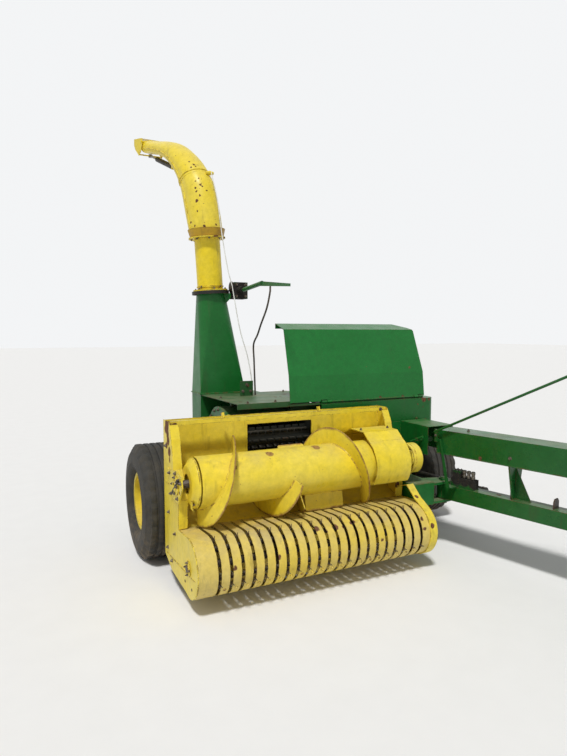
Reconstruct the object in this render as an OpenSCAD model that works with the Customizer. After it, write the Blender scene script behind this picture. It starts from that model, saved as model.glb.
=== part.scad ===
// Trailed forage harvester with a pickup head, a cross auger and a turning spout.
// Millimetres, +Z up, -Y is the way it travels, +X is the machine's left side.
// Every module is drawn from the centre line of the head (x = 0), the axle line
// (y = 0) and the ground (z = 0); place() then puts the centre of the footprint
// at the origin.

/* [Wheels and axle] */
// Radius of both tyres
tyre_r = 410; // [370:5:440]
// Width of a tyre
tyre_w = 310; // [260:5:340]
// Radius of the rim flange
rim_r = 207; // [190:1:230]
// Centre of the right wheel across the machine
wheel_right_x = -800; // [-860:5:-780]
// Centre of the left wheel across the machine
wheel_left_x = 1575; // [1560:5:1650]
// Side of the square axle tube
axle_side = 110; // [90:5:130]
// Radius of the wheel spindle
spindle_r = 24; // [18:1:30]

/* [Frame] */
// Width of the front beam that carries the tongue
beam_w = 190; // [170:5:195]
// Height of the front beam
beam_h = 165; // [155:5:180]
// How far the front beam reaches ahead of the axle line
beam_reach = 880; // [860:10:900]
// Side of the rear frame tubes
rail_side = 100; // [80:5:110]
// Wall of the frame tubes
rail_wall = 8; // [5:1:12]
// Distance of the rear cross tube behind the axle line
rear_rail_y = 750; // [720:10:800]
// Rear reach of the wagon drawbar's eye
wagon_reach = 1560; // [1540:10:1640]

/* [Cutter and feed housing] */
// Outer radius of the cutter drum housing
cutter_r = 260; // [220:5:280]
// Width of the cutter housing
cutter_w = 600; // [560:10:640]
// Height of the cutter axis
cutter_z = 800; // [780:5:820]
// Radius of each feed roll
feed_roll_r = 82; // [70:1:84]
// Thickness of housing sheet
sheet = 6; // [4:0.5:8]

/* [Blower and tower] */
// Radius of the blower housing
blower_r = 470; // [440:5:490]
// Depth of the blower housing along the machine
blower_d = 240; // [200:10:280]
// Height of the blower axis
blower_z = 648; // [640:1:649]
// Height of the tower's foot
tower_foot_z = 1120; // [1110:5:1150]
// Height of the tower's top flange
tower_top_z = 1955; // [1900:5:2000]
// Radius of the tower's top
tower_top_r = 118; // [112:1:125]

/* [Spout] */
// Outer radius of the spout's neck tube
neck_r = 105; // [95:1:108]
// Height of the flange between the neck and the duct
neck_top_z = 2405; // [2350:5:2450]
// Heading of the spout at rest, from straight back towards the right
spout_heading = 12; // [0:1:30]
// Wall of the spout
spout_wall = 4; // [3:0.5:6]

/* [Hood and deck] */
// Inner end of the hood
hood_x0 = 115; // [100:5:140]
// Outer end of the hood
hood_x1 = 1350; // [1300:5:1360]
// Height of the hood's lower edge
hood_z0 = 1105; // [1105:5:1120]
// Height of the hood's front bend
hood_z1 = 1650; // [1600:5:1700]
// Thickness of the hood and deck sheet
hood_t = 4; // [3:0.5:6]

/* [Pickup head] */
// Width over the side panels
head_w = 1676; // [1640:4:1720]
// Thickness of the side panels
panel_t = 6; // [4:1:8]
// Height of the top bar's upper face
head_top = 1065; // [1060:1:1072]
// Radius of the stripper bands round the nose
band_r = 175; // [170:1:180]
// Thickness of a band
band_t = 3; // [2:0.5:4]
// Distance from one slot between bands to the next
band_pitch = 70.7; // [68:0.1:71]
// Width of a slot
slot_w = 20; // [18:1:24]
// Radius of the tine tips
tine_r = 205; // [195:1:206]
// Radius of a tine wire
tine_wire_r = 2.6; // [2:0.2:3]

/* [Cross auger] */
// Radius of the auger tube
auger_r = 162; // [150:1:166]
// Radius of the flight's edge
flight_r = 274; // [262:1:274]
// Advance of the flight in one turn
flight_pitch = 480; // [440:10:520]
// Thickness of the flight
flight_t = 7; // [5:0.5:9]

/* [Tongue] */
// Width of the tongue tube
tongue_w = 110; // [90:5:120]
// Height of the tongue tube
tongue_h = 108; // [90:2:120]
// Distance from the pivot to the hitch pin
tongue_len = 2500; // [2400:10:2520]
// Heading of the tongue at rest, from straight ahead towards the left
tongue_heading = 14.6; // [10:0.1:15]
// Width of the driveline shield
shield_w = 200; // [180:5:210]
// Height of the driveline shield
shield_h = 175; // [150:5:185]
// Radius of the driveline shaft
driveline_r = 22; // [18:1:26]
// Radius of the driveline's splined stub
stub_r = 17.5; // [15:0.5:19]
// Radius of the hitch pin hole
hitch_pin_r = 16; // [12:0.5:18]

/* [Hidden] */
$fn = 48;

green = "#1d7a35";
dark_green = "#14562a";
yellow = "#f0d21c";
black = "#1c1c1c";
steel = "#77736c";

// Clearances: between moving sheet parts, between faces that only touch,
// and round a shaft
gap = 6;
seat = 0.3;
fit = 0.05;

// Wheels
bead_r = rim_r - 17;
rim_half = tyre_w / 2 - 40;
flange_t = 9;
hub_r = 62;
disc_t = 9;
tyre_wall = 24;
rib_count = 5;
groove_w = 16;
groove_d = 14;
axle_z = tyre_r;
axle_x0 = wheel_right_x + tyre_w / 2 + 30;
axle_x1 = wheel_left_x - tyre_w / 2 - 30;

// Front beam, its clevis and the tongue pivot
beam_x1 = 1050;
beam_x0 = beam_x1 - beam_w;
beam_z0 = 365;
beam_z1 = beam_z0 + beam_h;
pivot_x = 1207;
pivot_y = -800;
pivot_r = 24;
tongue_z = 440;
clevis_t = 18;
clevis_r = 62;
rail_z = axle_z;
right_rail_x = -450;
left_rail_x = 1060;
wagon_x = 475;
wagon_eye_r = 45;
wagon_pin_r = 14;

// Extents that centre the footprint
box_x0 = wheel_right_x - tyre_w / 2;
shield_front = 60;
box_x1 = max(wheel_left_x + tyre_w / 2, pivot_x + (tongue_len - shield_front) * sin(tongue_heading)
    + shield_w / 2 * cos(tongue_heading));
hitch_r = 50;
box_y0 = pivot_y - tongue_len * cos(tongue_heading) - hitch_r;
box_y1 = wagon_reach + wagon_eye_r;

// Cutter, feed rolls and blower
cutter_y = 20;
feed_y0 = -436;
feed_y = -346;
feed_gap = 26;
feed_upper_z = 862;
feed_lower_z = feed_upper_z - 2 * feed_roll_r - feed_gap;
feed_x = 270;
feed_shaft_r = 20;
blower_x = 137;
blower_y0 = 360;
blower_y1 = blower_y0 + blower_d;
outlet_x0 = blower_x - blower_r;
outlet_x1 = 55;

// Tower and spout
tower_x = -200;
tower_y = 480;
ring_r = 150;
ring_t = 14;
neck_z0 = tower_top_z + ring_t + seat;
rotator_y0 = -610;
spout_lean = 3.4;

// Head: the hinge across the feed housing, the nose of the reel, the auger
hinge_y = -300;
hinge_z = 1000;
hinge_pin_r = 20;
arm_x = 330;
arm_t = 14;
reel_y = -990;
reel_z = 270;
auger_y = -765;
auger_z = 705;
trough_r = flight_r + 10;
back_y = -460;
bar_y0 = -571;
flange_w = 59;
panel_x = head_w / 2;
throat_x0 = -255;
throat_x1 = 250;
throat_z0 = 600;
throat_z1 = 990;
bar_t = 28;
band_slope = 5.5;
band_reach = 250;
end_wrap = 95;
slot_count = floor((head_w - 2 * end_wrap) / band_pitch);
trough_y0 = reel_y + band_reach + seat;
cone_depth = 46;
auger_x0 = -panel_x + flange_w + cone_depth + 13;
auger_shaft_r = 25;
bearing_t = 8;
reel_shaft_r = 24;
shield_x0 = panel_x - 348;
hook_xs = [-474, 251];
// Front edge of a side panel from its top down, [y, z]
edge = [[-590, 1045], [-634, 960], [-676, 778], [-785, 610], [-775, 430]];

// Hood hinge and apron
hood_y = -385;
hood_crease_z = 1305;
hood_crease_y = -360;
hood_top_y = -270;
hood_back_y = -120;
hood_back_z = hood_z1 + 45;
hood_taper = 40;
knuckle_r = 10;
apron_x0 = 370;
apron_x1 = 1445;
apron_y0 = -400;
apron_z0 = 897;
apron_z1 = hood_z0 - knuckle_r - 5;
gearbox_z1 = 910;

// Lift cylinder: pin on the axle and eye under the head
lift_x = 420;
lift_a = [-20, 590];
lift_b = [-425, 560];
lift_len = norm(lift_b - lift_a);
lift_angle = atan2(lift_b[1] - lift_a[1], lift_b[0] - lift_a[0]);

// Tongue swing cylinder: pin on the frame and eye on the tongue
swing_a = [1330, -300];
swing_u = 520;
swing_v = 160;
tongue_dir = [sin(tongue_heading), -cos(tongue_heading)];
tongue_left = [cos(tongue_heading), sin(tongue_heading)];
swing_b = [pivot_x, pivot_y] + swing_u * tongue_dir + swing_v * tongue_left;
swing_len = norm(swing_b - swing_a);
swing_angle = atan2(swing_b[1] - swing_a[1], swing_b[0] - swing_a[0]);
cyl_r = 30;
cyl_rod_r = 13;
cyl_pin_r = 12;
cyl_eye_r = 24;
cyl_ear_gap = 18;
ear_t = 12;
ear_r = 30;

// Driveline, its shield and hangers along the tongue
driveline_z = 800;
shield_z0 = 735;
hanger_ys = [-570, -2250];
rod_z0 = 895;
rod_rise = 26.4;
rod_len = 1700;
rod_x = -shield_w / 2 - 30;

// Moves the harvester from its drawing datum to the centre of its footprint
module place() {
    translate([-(box_x0 + box_x1) / 2, -(box_y0 + box_y1) / 2, 0]) children();
}

// Box from its low corner to its high corner
module block(low, high) {
    translate(low) cube(high - low);
}

// Extrudes a profile of [y, z] from x0 to x1
module along_x(x0, x1) {
    translate([x0, 0, 0]) rotate([90, 0, 90]) linear_extrude(x1 - x0) children();
}

// Extrudes a profile of [x, z] from y0 to y1
module along_y(y0, y1) {
    translate([0, y1, 0]) rotate([90, 0, 0]) linear_extrude(y1 - y0) children();
}

// Round bar along X
module bar_x(x0, x1, y, z, r) {
    translate([x0, y, z]) rotate([0, 90, 0]) cylinder(h = x1 - x0, r = r);
}

// Round bar along Y
module bar_y(y0, y1, x, z, r) {
    translate([x, y1, z]) rotate([90, 0, 0]) cylinder(h = y1 - y0, r = r);
}

// Rectangular tube along one axis, open at both ends
module tube(low, high, wall, axis) {
    inset = [for (i = [0:2]) i == axis ? -1 : wall];
    difference() {
        block(low, high);
        block(low + inset, high - inset);
    }
}

// Frame of the tongue: +Y runs back along it, the pivot is at its origin
module on_tongue() {
    translate([pivot_x, pivot_y, 0]) rotate([0, 0, tongue_heading]) children();
}

// Frame of the tower's flange, which leans to the right, heights from the ground
module on_flange() {
    translate([tower_x, tower_y, tower_top_z]) rotate([0, -spout_lean, 0])
        translate([0, 0, -tower_top_z]) children();
}

// Frame of the spout: +Y runs out over the wagon, the neck's axis is at its origin
module on_spout() {
    on_flange() rotate([0, 0, spout_heading]) children();
}

// Square axle tube with a spindle at each end and the ears of the lift cylinder
module axle() {
    half = axle_side / 2;
    color(green) place() {
        tube([axle_x0, -half, axle_z - half], [axle_x1, half, axle_z + half], rail_wall, 0);
        for (side = [[axle_x0, -1], [axle_x1, 1]])
            translate([side[0], 0, axle_z]) rotate([0, 90 * side[1], 0]) {
                translate([-half, -half, -20]) cube([axle_side, axle_side, 20]);
                cylinder(h = 20, r = spindle_r + 12);
                cylinder(h = 30 + tyre_w / 2 + 60, r = spindle_r);
            }
        for (x = [lift_x - cyl_ear_gap - ear_t, lift_x + cyl_ear_gap]) along_x(x, x + ear_t) union() {
            translate(lift_a) circle(r = 30);
            polygon([[-half, axle_z + half - 4], [half, axle_z + half - 4],
                lift_a + [30, 0], lift_a - [30, 0]]);
        }
        bar_x(lift_x - cyl_ear_gap - ear_t - 6, lift_x + cyl_ear_gap + ear_t + 6,
            lift_a[0], lift_a[1], cyl_pin_r);
    }
}

// Front beam with the clevis and pin of the tongue and the swing cylinder's bracket
module front_frame() {
    half = axle_side / 2;
    clevis_z = [tongue_z - tongue_h / 2 - gap - clevis_t, tongue_z + tongue_h / 2 + gap];
    ear_z = [tongue_z - cyl_ear_gap - ear_t, tongue_z + cyl_ear_gap];
    color(green) place() {
        tube([beam_x0, -beam_reach + 12, beam_z0], [beam_x1, -half, beam_z1], rail_wall, 1);
        block([beam_x0, -beam_reach, beam_z0], [beam_x1, -beam_reach + 12, beam_z1]);
        for (z = clevis_z)
            translate([0, 0, z]) linear_extrude(clevis_t) union() {
                translate([pivot_x, pivot_y]) circle(r = clevis_r);
                polygon([[beam_x1 - 70, pivot_y - clevis_r], [pivot_x, pivot_y - clevis_r],
                    [pivot_x, pivot_y + clevis_r], [beam_x1 - 70, pivot_y + clevis_r * 2]]);
            }
        translate([pivot_x, pivot_y, clevis_z[0] - 20])
            cylinder(h = clevis_z[1] - clevis_z[0] + clevis_t + 40, r = pivot_r);
        translate([pivot_x, pivot_y, clevis_z[1] + clevis_t]) cylinder(h = 14, r = pivot_r + 12);
        for (z = ear_z) {
            block([beam_x1 - 4, swing_a[1] - 34, z], [swing_a[0], swing_a[1] + 34, z + ear_t]);
            translate([swing_a[0], swing_a[1], z]) cylinder(h = ear_t, r = 40);
        }
        translate([swing_a[0], swing_a[1], ear_z[0] - 6])
            cylinder(h = ear_z[1] - ear_z[0] + ear_t + 12, r = cyl_pin_r);
        block([beam_x1 - 4, swing_a[1] - 34, ear_z[0]], [swing_a[0] - 110, swing_a[1] + 34, ear_z[1]]);
    }
}

// Rear frame: two tubes back from the axle, the cross tube behind the blower and
// the drawbar for the wagon with its eye
module rear_frame() {
    half = axle_side / 2;
    rail = rail_side / 2;
    y0 = rear_rail_y + rail;
    color(green) place() difference() {
        union() {
            for (x = [right_rail_x, left_rail_x])
                tube([x - rail, half, rail_z - rail], [x + rail, rear_rail_y - rail, rail_z + rail],
                    rail_wall, 1);
            tube([right_rail_x - rail, rear_rail_y - rail, rail_z - rail],
                [left_rail_x + rail, rear_rail_y + rail, rail_z + rail], rail_wall, 0);
            tube([wagon_x - 40, y0, rail_z - 40], [wagon_x + 40, wagon_reach - 60, rail_z + 40],
                rail_wall, 1);
            block([wagon_x - wagon_eye_r, wagon_reach - 90, rail_z - 12],
                [wagon_x + wagon_eye_r, wagon_reach, rail_z + 12]);
            translate([wagon_x, wagon_reach, rail_z - 12]) cylinder(h = 24, r = wagon_eye_r);
            for (side = [-1, 1])
                translate([0, 0, rail_z - 10]) linear_extrude(20)
                    polygon([[wagon_x + side * 40, y0], [wagon_x + side * 260, y0],
                        [wagon_x + side * 40, y0 + 340]]);
        }
        translate([wagon_x, wagon_reach, rail_z - 20]) cylinder(h = 40, r = wagon_pin_r);
    }
}

// Tyre section as [radius, offset]: ribbed tread, bulged side walls, open bead
module tyre_section() {
    half = tyre_w / 2;
    tread = half - 38;
    seated = rim_half - flange_t - seat;
    difference() {
        polygon([[bead_r, -seated], [rim_r + seat, -seated], [bead_r + 40, -half + 12], [bead_r + 95, -half],
            [tyre_r - 60, -half + 6], [tyre_r - 14, -tread], [tyre_r, -tread + 22],
            [tyre_r, tread - 22], [tyre_r - 14, tread], [tyre_r - 60, half - 6],
            [bead_r + 95, half], [bead_r + 40, half - 12], [rim_r + seat, seated], [bead_r, seated]]);
        translate([bead_r - 1, -half + 85]) square([50, tyre_w - 170]);
        translate([bead_r + 45, -half + tyre_wall]) square([tyre_r - bead_r - 95, tyre_w - 2 * tyre_wall]);
        for (i = [1:rib_count - 1])
            translate([tyre_r - groove_d, -tread + 2 * tread * i / rib_count - groove_w / 2])
                square([groove_d + 1, groove_w]);
    }
}

// Rim section as [radius, offset]; the dish opens towards plus
module rim_section() {
    half = rim_half;
    polygon([[bead_r - 8, -half], [rim_r, -half], [rim_r, -half + flange_t],
        [bead_r - seat, -half + flange_t],
        [bead_r - seat, -half + 60], [bead_r - 34, -half + 84], [bead_r - 34, half - 84],
        [bead_r - seat, half - 60], [bead_r - seat, half - flange_t], [rim_r, half - flange_t], [rim_r, half],
        [bead_r - 9, half], [bead_r - 9, half - 56], [bead_r - 43, half - 80],
        [bead_r - 43, -10], [bead_r - 60, -24], [hub_r, -24], [hub_r, -24 - disc_t],
        [bead_r - 52, -24 - disc_t], [bead_r - 43, -half + 80], [bead_r - 9, -half + 56]]);
}

// Cast hub section as [radius, offset]: bore for the spindle and closed cap
module hub_section() {
    polygon([[spindle_r + fit, -60], [hub_r, -60], [hub_r, 20], [46, 34], [46, 78], [40, 84],
        [0, 84], [0, 76], [spindle_r + fit, 76]]);
}

// Lays a [radius, offset] section round a wheel's axis with its dish facing away
module round_wheel(x, away) {
    translate([x, 0, axle_z]) rotate([0, 90 * away, 0]) rotate_extrude($fn = 96) children();
}

module tyre_right() { color(black) place() round_wheel(wheel_right_x, -1) tyre_section(); }
module tyre_left() { color(black) place() round_wheel(wheel_left_x, 1) tyre_section(); }

// Rim and hub of one wheel
module wheel_centre(x, away) {
    color(yellow) place() {
        round_wheel(x, away) rim_section();
        round_wheel(x, away) hub_section();
    }
}

module rim_right() { wheel_centre(wheel_right_x, -1); }
module rim_left() { wheel_centre(wheel_left_x, 1); }

// Drum housing of the cutter on side plates that stand on the axle, with the
// box that leads back to the blower
module cutter_housing() {
    half = cutter_w / 2;
    foot_z = axle_z + axle_side / 2;
    color(green) place() {
        along_x(-half + sheet, half - sheet) difference() {
            union() {
                translate([cutter_y, cutter_z]) circle(r = cutter_r);
                translate([cutter_y, cutter_z - 120]) square([blower_y0 - cutter_y, 240]);
                translate([feed_y0 + 196, feed_lower_z - 40]) square([200, 330]);
            }
            translate([cutter_y, cutter_z]) circle(r = cutter_r - sheet);
            translate([cutter_y, cutter_z - 120 + sheet]) square([blower_y0 - cutter_y + 1, 240 - 2 * sheet]);
            translate([feed_y0 + 195, feed_lower_z - 40 + sheet]) square([200, 330 - 2 * sheet]);
        }
        for (x = [-half, half - sheet])
            along_x(x, x + sheet) union() {
                translate([cutter_y, cutter_z]) circle(r = cutter_r);
                translate([cutter_y, cutter_z - 120]) square([blower_y0 - cutter_y, 240]);
                polygon([[cutter_y - 150, foot_z], [cutter_y + 150, foot_z],
                    [cutter_y + cutter_r, cutter_z], [cutter_y - cutter_r, cutter_z]]);
            }
    }
}

// Cutter drum as one plain mass on its shaft
module cutter_drum() {
    half = cutter_w / 2;
    color(steel) place() {
        bar_x(-half + sheet + 20, half - sheet - 20, cutter_y, cutter_z, cutter_r / 2);
        bar_x(-half + sheet + seat, half - sheet - seat, cutter_y, cutter_z, 40);
    }
}

// Feed housing with side plates, roof and floor, open to the front; the head
// hangs on the two pins at its upper corners
module feed_housing() {
    y1 = feed_y0 + 196;
    z0 = feed_lower_z - feed_roll_r - 18;
    z1 = hinge_z + 34;
    out = feed_x + sheet;
    color(green) place() {
        for (x = [-out, feed_x]) difference() {
            along_x(x, x + sheet) polygon([[feed_y0, z0 + 30], [feed_y0 + 30, z0], [y1, z0],
                [y1, z1], [hinge_y - 60, z1], [feed_y0, z1 - 70]]);
            for (z = [feed_upper_z, feed_lower_z])
                bar_x(x - 1, x + sheet + 1, feed_y, z, feed_shaft_r + fit);
        }
        block([-feed_x, feed_y0 + 30, z0], [feed_x, y1, z0 + sheet]);
        block([-feed_x, hinge_y - 60, z1 - sheet], [feed_x, y1, z1]);
        for (side = [-1, 1])
            bar_x(side > 0 ? out : -arm_x - arm_t, side > 0 ? arm_x + arm_t : -out,
                hinge_y, hinge_z, hinge_pin_r);
    }
}

// Feed roll: shaft, tube and toothed bars set round it
module feed_roll(z, bars) {
    color(dark_green) place() {
        bar_x(-feed_x - sheet - 24, feed_x + sheet + 24, feed_y, z, feed_shaft_r);
        bar_x(-feed_x + gap, feed_x - gap, feed_y, z, feed_roll_r - 22);
        for (i = [0:bars - 1])
            translate([0, feed_y, z]) rotate([i * 360 / bars, 0, 0])
                for (k = [0:8])
                    translate([-feed_x + 14 + k * 58, -5, 0]) cube([44, 10, feed_roll_r]);
    }
}

module feed_roll_upper() { feed_roll(feed_upper_z, 8); }
module feed_roll_lower() { feed_roll(feed_lower_z, 10); }

// Outline of the blower: its drum and the outlet that rises on the right
module blower_outline(inset) {
    translate([blower_x, blower_z]) circle(r = blower_r - inset, $fn = 96);
    translate([outlet_x0 + inset, blower_z])
        square([outlet_x1 - outlet_x0 - 2 * inset, tower_foot_z - blower_z + (inset > 0 ? 1 : 0)]);
}

// Blower housing, open at the outlet, with the feet on the rear cross tube
module blower_housing() {
    foot_y = rear_rail_y - rail_side / 2;
    color(green) place() difference() {
        union() {
            along_y(blower_y0, blower_y1) blower_outline(0);
            for (x = [blower_x - 260, blower_x + 220])
                block([x, blower_y1 - sheet, rail_z - 40], [x + 40, foot_y, rail_z + 40]);
        }
        along_y(blower_y0 + sheet, blower_y1 - sheet) blower_outline(sheet);
    }
}

// Blower rotor as one plain disc on its shaft
module blower_rotor() {
    mid = (blower_y0 + blower_y1) / 2;
    color(steel) place() {
        bar_y(mid - 11, mid + 11, blower_x, blower_z, blower_r - sheet - 80);
        bar_y(blower_y0 + sheet + seat, blower_y1 - sheet - seat, blower_x, blower_z, 35);
    }
}

// One ring of the tower's shell: a rectangle below, a circle at the top
module tower_shell(inset) {
    hull() {
        block([outlet_x0 + inset, blower_y0 + inset, tower_foot_z + (inset > 0 ? -1 : 0)],
            [outlet_x1 - inset, blower_y1 - inset, tower_foot_z + 20]);
        on_flange() translate([0, 0, tower_top_z - 30])
            cylinder(h = 30 + (inset > 0 ? 1 : 0), r = tower_top_r - inset, $fn = 32);
    }
}

// Tower from the blower's outlet to the round flange that carries the spout
module tower() {
    color(green) place() {
        difference() {
            union() {
                tower_shell(0);
                block([outlet_x0 - 8, blower_y0 - 8, tower_foot_z],
                    [outlet_x1 + 8, blower_y1 + 8, tower_foot_z + 8]);
                along_y(tower_y - 84, tower_y - 78) polygon([[tower_x + 20, tower_top_z - 115],
                    [tower_x + 80, tower_top_z - 115], [tower_x + 150, tower_top_z - 40],
                    [tower_x + 150, tower_top_z - 5], [tower_x + 20, tower_top_z - 5]]);
            }
            tower_shell(spout_wall);
        }
        on_flange() translate([0, 0, tower_top_z]) difference() {
            cylinder(h = ring_t, r = ring_r);
            translate([0, 0, -1]) cylinder(h = ring_t + 2, r = neck_r - spout_wall);
        }
    }
}

// Flat deck over the cutter with a turned-down lip and the two latch brackets
module deck() {
    z = tower_foot_z;
    lip_y = hood_y + 9;
    color(dark_green) place() {
        translate([0, 0, z - hood_t]) linear_extrude(hood_t) polygon([[430, blower_y0 - 10],
            [700, -100], [hood_x0 + 100, hinge_y - 60], [-290, hinge_y - 60],
            [-330, blower_y0 - 10]]);
        block([hood_x0, lip_y, z - 36], [apron_x0 - seat, lip_y + hood_t, z - 20]);
        block([hood_x0, lip_y, z - 36], [hood_x0 + 100, hinge_y - 60 + hood_t, z - 32]);
        block([-290, hinge_y - 60, z - 40], [hood_x0 + 100, hinge_y - 60 + hood_t, z - hood_t]);
        for (x = [-200, 60])
            block([x, cutter_y - 15, cutter_z + cutter_r + seat], [x + 30, cutter_y + 15, z - hood_t]);
        block([-80, 120, z], [30, 128, z + 120]);
    }
}

// Main gearbox on its pedestal, with the input shaft towards the tongue and the
// cross shaft to the cutter
module gearbox() {
    z = driveline_z;
    x0 = pivot_x - 120;
    color(dark_green) place() {
        block([x0, -290, z - 120], [x0 + 240, -40, gearbox_z1]);
        block([beam_x0 + 60, -270, beam_z1], [x0 + 30, -70, z - 120]);
        block([x0, -270, z - 150], [x0 + 240, -70, z - 120]);
        bar_y(-640, -290, pivot_x, z, driveline_r);
        bar_y(-330, -290, pivot_x, z, 60);
        bar_x(cutter_w / 2, x0, cutter_y, z, 40);
        block([x0, -40, z - 60], [x0 + 120, 60, z + 60]);
    }
}

// Sheet cover over the gearbox's input shaft, on its upright bracket, with the
// rear end of the crank rod in its bearing lug
module driveline_cover() {
    half = shield_w / 2 + 20;
    y0 = pivot_y + 46;
    y1 = -420;
    top = shield_z0 + shield_h + 10;
    color(green) place() {
        along_y(y0, y1) difference() {
            translate([pivot_x - half, shield_z0 - 30]) square([2 * half, top - shield_z0 + 30]);
            translate([pivot_x - half + sheet / 2, shield_z0 - 35])
                square([2 * half - sheet, top - shield_z0 + 35 - sheet / 2]);
        }
        block([beam_x1 - 80, y1, beam_z1], [pivot_x - half + 20, y1 + 8, top - 5]);
        block([pivot_x - half - 52, y1 - 273, 808], [pivot_x - half + 1.5, y1 - 253, 828]);
        on_tongue() translate([rod_x, 210, rod_z0 - 210 * tan(rod_rise)]) rotate([90 - rod_rise, 0, 0])
            cylinder(h = 120, r = 9);
    }
}

// Box-shaped apron below the hood with a rounded outer end, bolted to the gearbox
// and to the cutter housing, with the outer knuckles and the pin of the hood hinge
module apron() {
    r = 60;
    color(green) place() {
        difference() {
            translate([0, 0, apron_z0]) linear_extrude(apron_z1 - apron_z0) union() {
                translate([apron_x0, apron_y0]) square([apron_x1 - r - apron_x0, 300]);
                translate([apron_x1 - r, apron_y0 + r]) circle(r = r);
                translate([apron_x1 - r - 1, apron_y0 + r]) square([r + 1, 300 - r]);
            }
            translate([0, 0, apron_z0 - 1]) linear_extrude(apron_z1 - apron_z0 + 1 - hood_t) union() {
                translate([apron_x0 - 1, apron_y0 + hood_t]) square([apron_x1 - r - apron_x0 + 1, 300]);
                translate([apron_x1 - r, apron_y0 + r]) circle(r = r - hood_t);
                translate([apron_x1 - r - 1, apron_y0 + r]) square([r + 1 - hood_t, 300]);
            }
        }
        block([cutter_w / 2, -170, cutter_z + 120], [apron_x0 + 20, -120, apron_z1 - hood_t]);
        block([pivot_x, -290, gearbox_z1], [pivot_x + 50, -240, apron_z1 - hood_t]);
        block([apron_x0, hood_y + 17, apron_z1 - 1], [hood_x1, hood_y + 21, hood_z0 + 20]);
        for (x = [apron_x0 + 10, hood_x1 - 60]) {
            bar_x(x, x + 40, hood_y, hood_z0, knuckle_r);
            block([x, hood_y + 1, apron_z1 - 1], [x + 40, hood_y + knuckle_r - 2, hood_z0]);
        }
        bar_x(apron_x0 + 10, hood_x1 - 20, hood_y, hood_z0, knuckle_r / 2);
    }
}

// Hood: a bent sheet that hinges forward about its lower edge
module hood() {
    y = hood_y;
    hinge_xs = [apron_x0 + 10, hood_x1 - 60];
    color(green) place() {
        difference() {
            along_x(hood_x0, hood_x1) polygon([[y + 2, hood_z0 + 4], [hood_crease_y, hood_crease_z],
                [hood_top_y, hood_z1], [hood_back_y, hood_back_z], [hood_back_y, hood_back_z - 40],
                [hood_back_y - hood_t, hood_back_z - 40], [hood_back_y - hood_t, hood_back_z - hood_t - 1.2],
                [hood_top_y + hood_t, hood_z1 - hood_t], [hood_crease_y + hood_t, hood_crease_z],
                [y + 2 + hood_t, hood_z0 + 4]]);
            along_y(hood_y - 10, hood_back_y + 10) polygon([[hood_x1, hood_crease_z],
                [hood_x1 - hood_taper, hood_z1 - 12], [hood_x1 - hood_taper - 22, hood_z1 + 14],
                [hood_x1 - hood_taper - 110, hood_back_z + 1], [hood_x1 + 50, hood_back_z + 1],
                [hood_x1 + 50, hood_crease_z]]);
            for (x = hinge_xs)
                block([x - gap, y - knuckle_r - gap, hood_z0 - knuckle_r], [x + 40 + gap, y + 40,
                    hood_z0 + knuckle_r + gap]);
            bar_x(hood_x0 - 1, hood_x1 + 1, y, hood_z0, knuckle_r / 2 + fit);
        }
        for (x = [hinge_xs[0] + 40 + gap, hinge_xs[1] - gap - 40])
            difference() {
                union() {
                    bar_x(x, x + 40, y, hood_z0, knuckle_r);
                    block([x, y, hood_z0], [x + 40, y + 5, hood_z0 + knuckle_r + 4]);
                }
                bar_x(x - 1, x + 41, y, hood_z0, knuckle_r / 2 + fit);
            }
    }
}

// Angle stays on the apron that the hood rests against
module hood_stays() {
    inner = hood_t + seat;
    x0 = apron_x0 + 80;
    x1 = hood_x1 - 200;
    color(dark_green) place() {
        for (x = [x0, x1])
            along_x(x, x + 5) polygon([[hood_y + 30, apron_z1], [hood_y + 95, apron_z1],
                [hood_top_y + inner + 40, hood_z1 - 30], [hood_top_y + inner - 6, hood_z1 - 30],
                [hood_crease_y + inner, hood_crease_z], [hood_y + 17, apron_z1 + 90]]);
        block([x0, hood_y + 30, apron_z1], [x1 + 5, hood_y + 80, apron_z1 + 5]);
    }
}

// Worm drive under the tower's flange, its hydraulic motor tube and the long
// arm that holds the hose
module rotator() {
    x = tower_x + 200;
    low = tower_top_z - 50;
    z = tower_top_z + 15;
    color(black) place() {
        block([x - 40, tower_y - 140, low], [x + 76, tower_y - 20, z + 70]);
        block([tower_x + 120, tower_y - 78 + seat, low + 12], [x - 38, tower_y - 60, low + 42]);
        bar_y(tower_y - 230, tower_y - 140, x, z + 8, 26);
    }
    color(green) place() {
        translate([x, tower_y - 230, z]) rotate([86, 0, 0]) cylinder(h = 388, r = 17);
        along_x(x - 4, x + 4) polygon([[rotator_y0, z - 32], [rotator_y0 + 500, z + 6],
            [rotator_y0 + 500, z + 42], [rotator_y0, z - 12]]);
    }
}

// Black hose from the deck up and over to the rotator's arm
module rotator_hose() {
    color(black) place() sweep(hose_path, 14, 8);
}

// Round neck of the spout that turns in the tower's flange
module spout_neck() {
    h = neck_top_z - neck_z0;
    color(yellow) place() on_spout() translate([0, 0, neck_z0]) difference() {
        union() {
            cylinder(h = h, r = neck_r);
            cylinder(h = 12, r = ring_r - 8);
            translate([0, 0, 30]) cylinder(h = 10, r = neck_r + 6);
            translate([0, 0, h - 10]) cylinder(h = 10, r = ring_r);
        }
        translate([0, 0, -1]) cylinder(h = h + 2, r = neck_r - spout_wall);
    }
}

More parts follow.
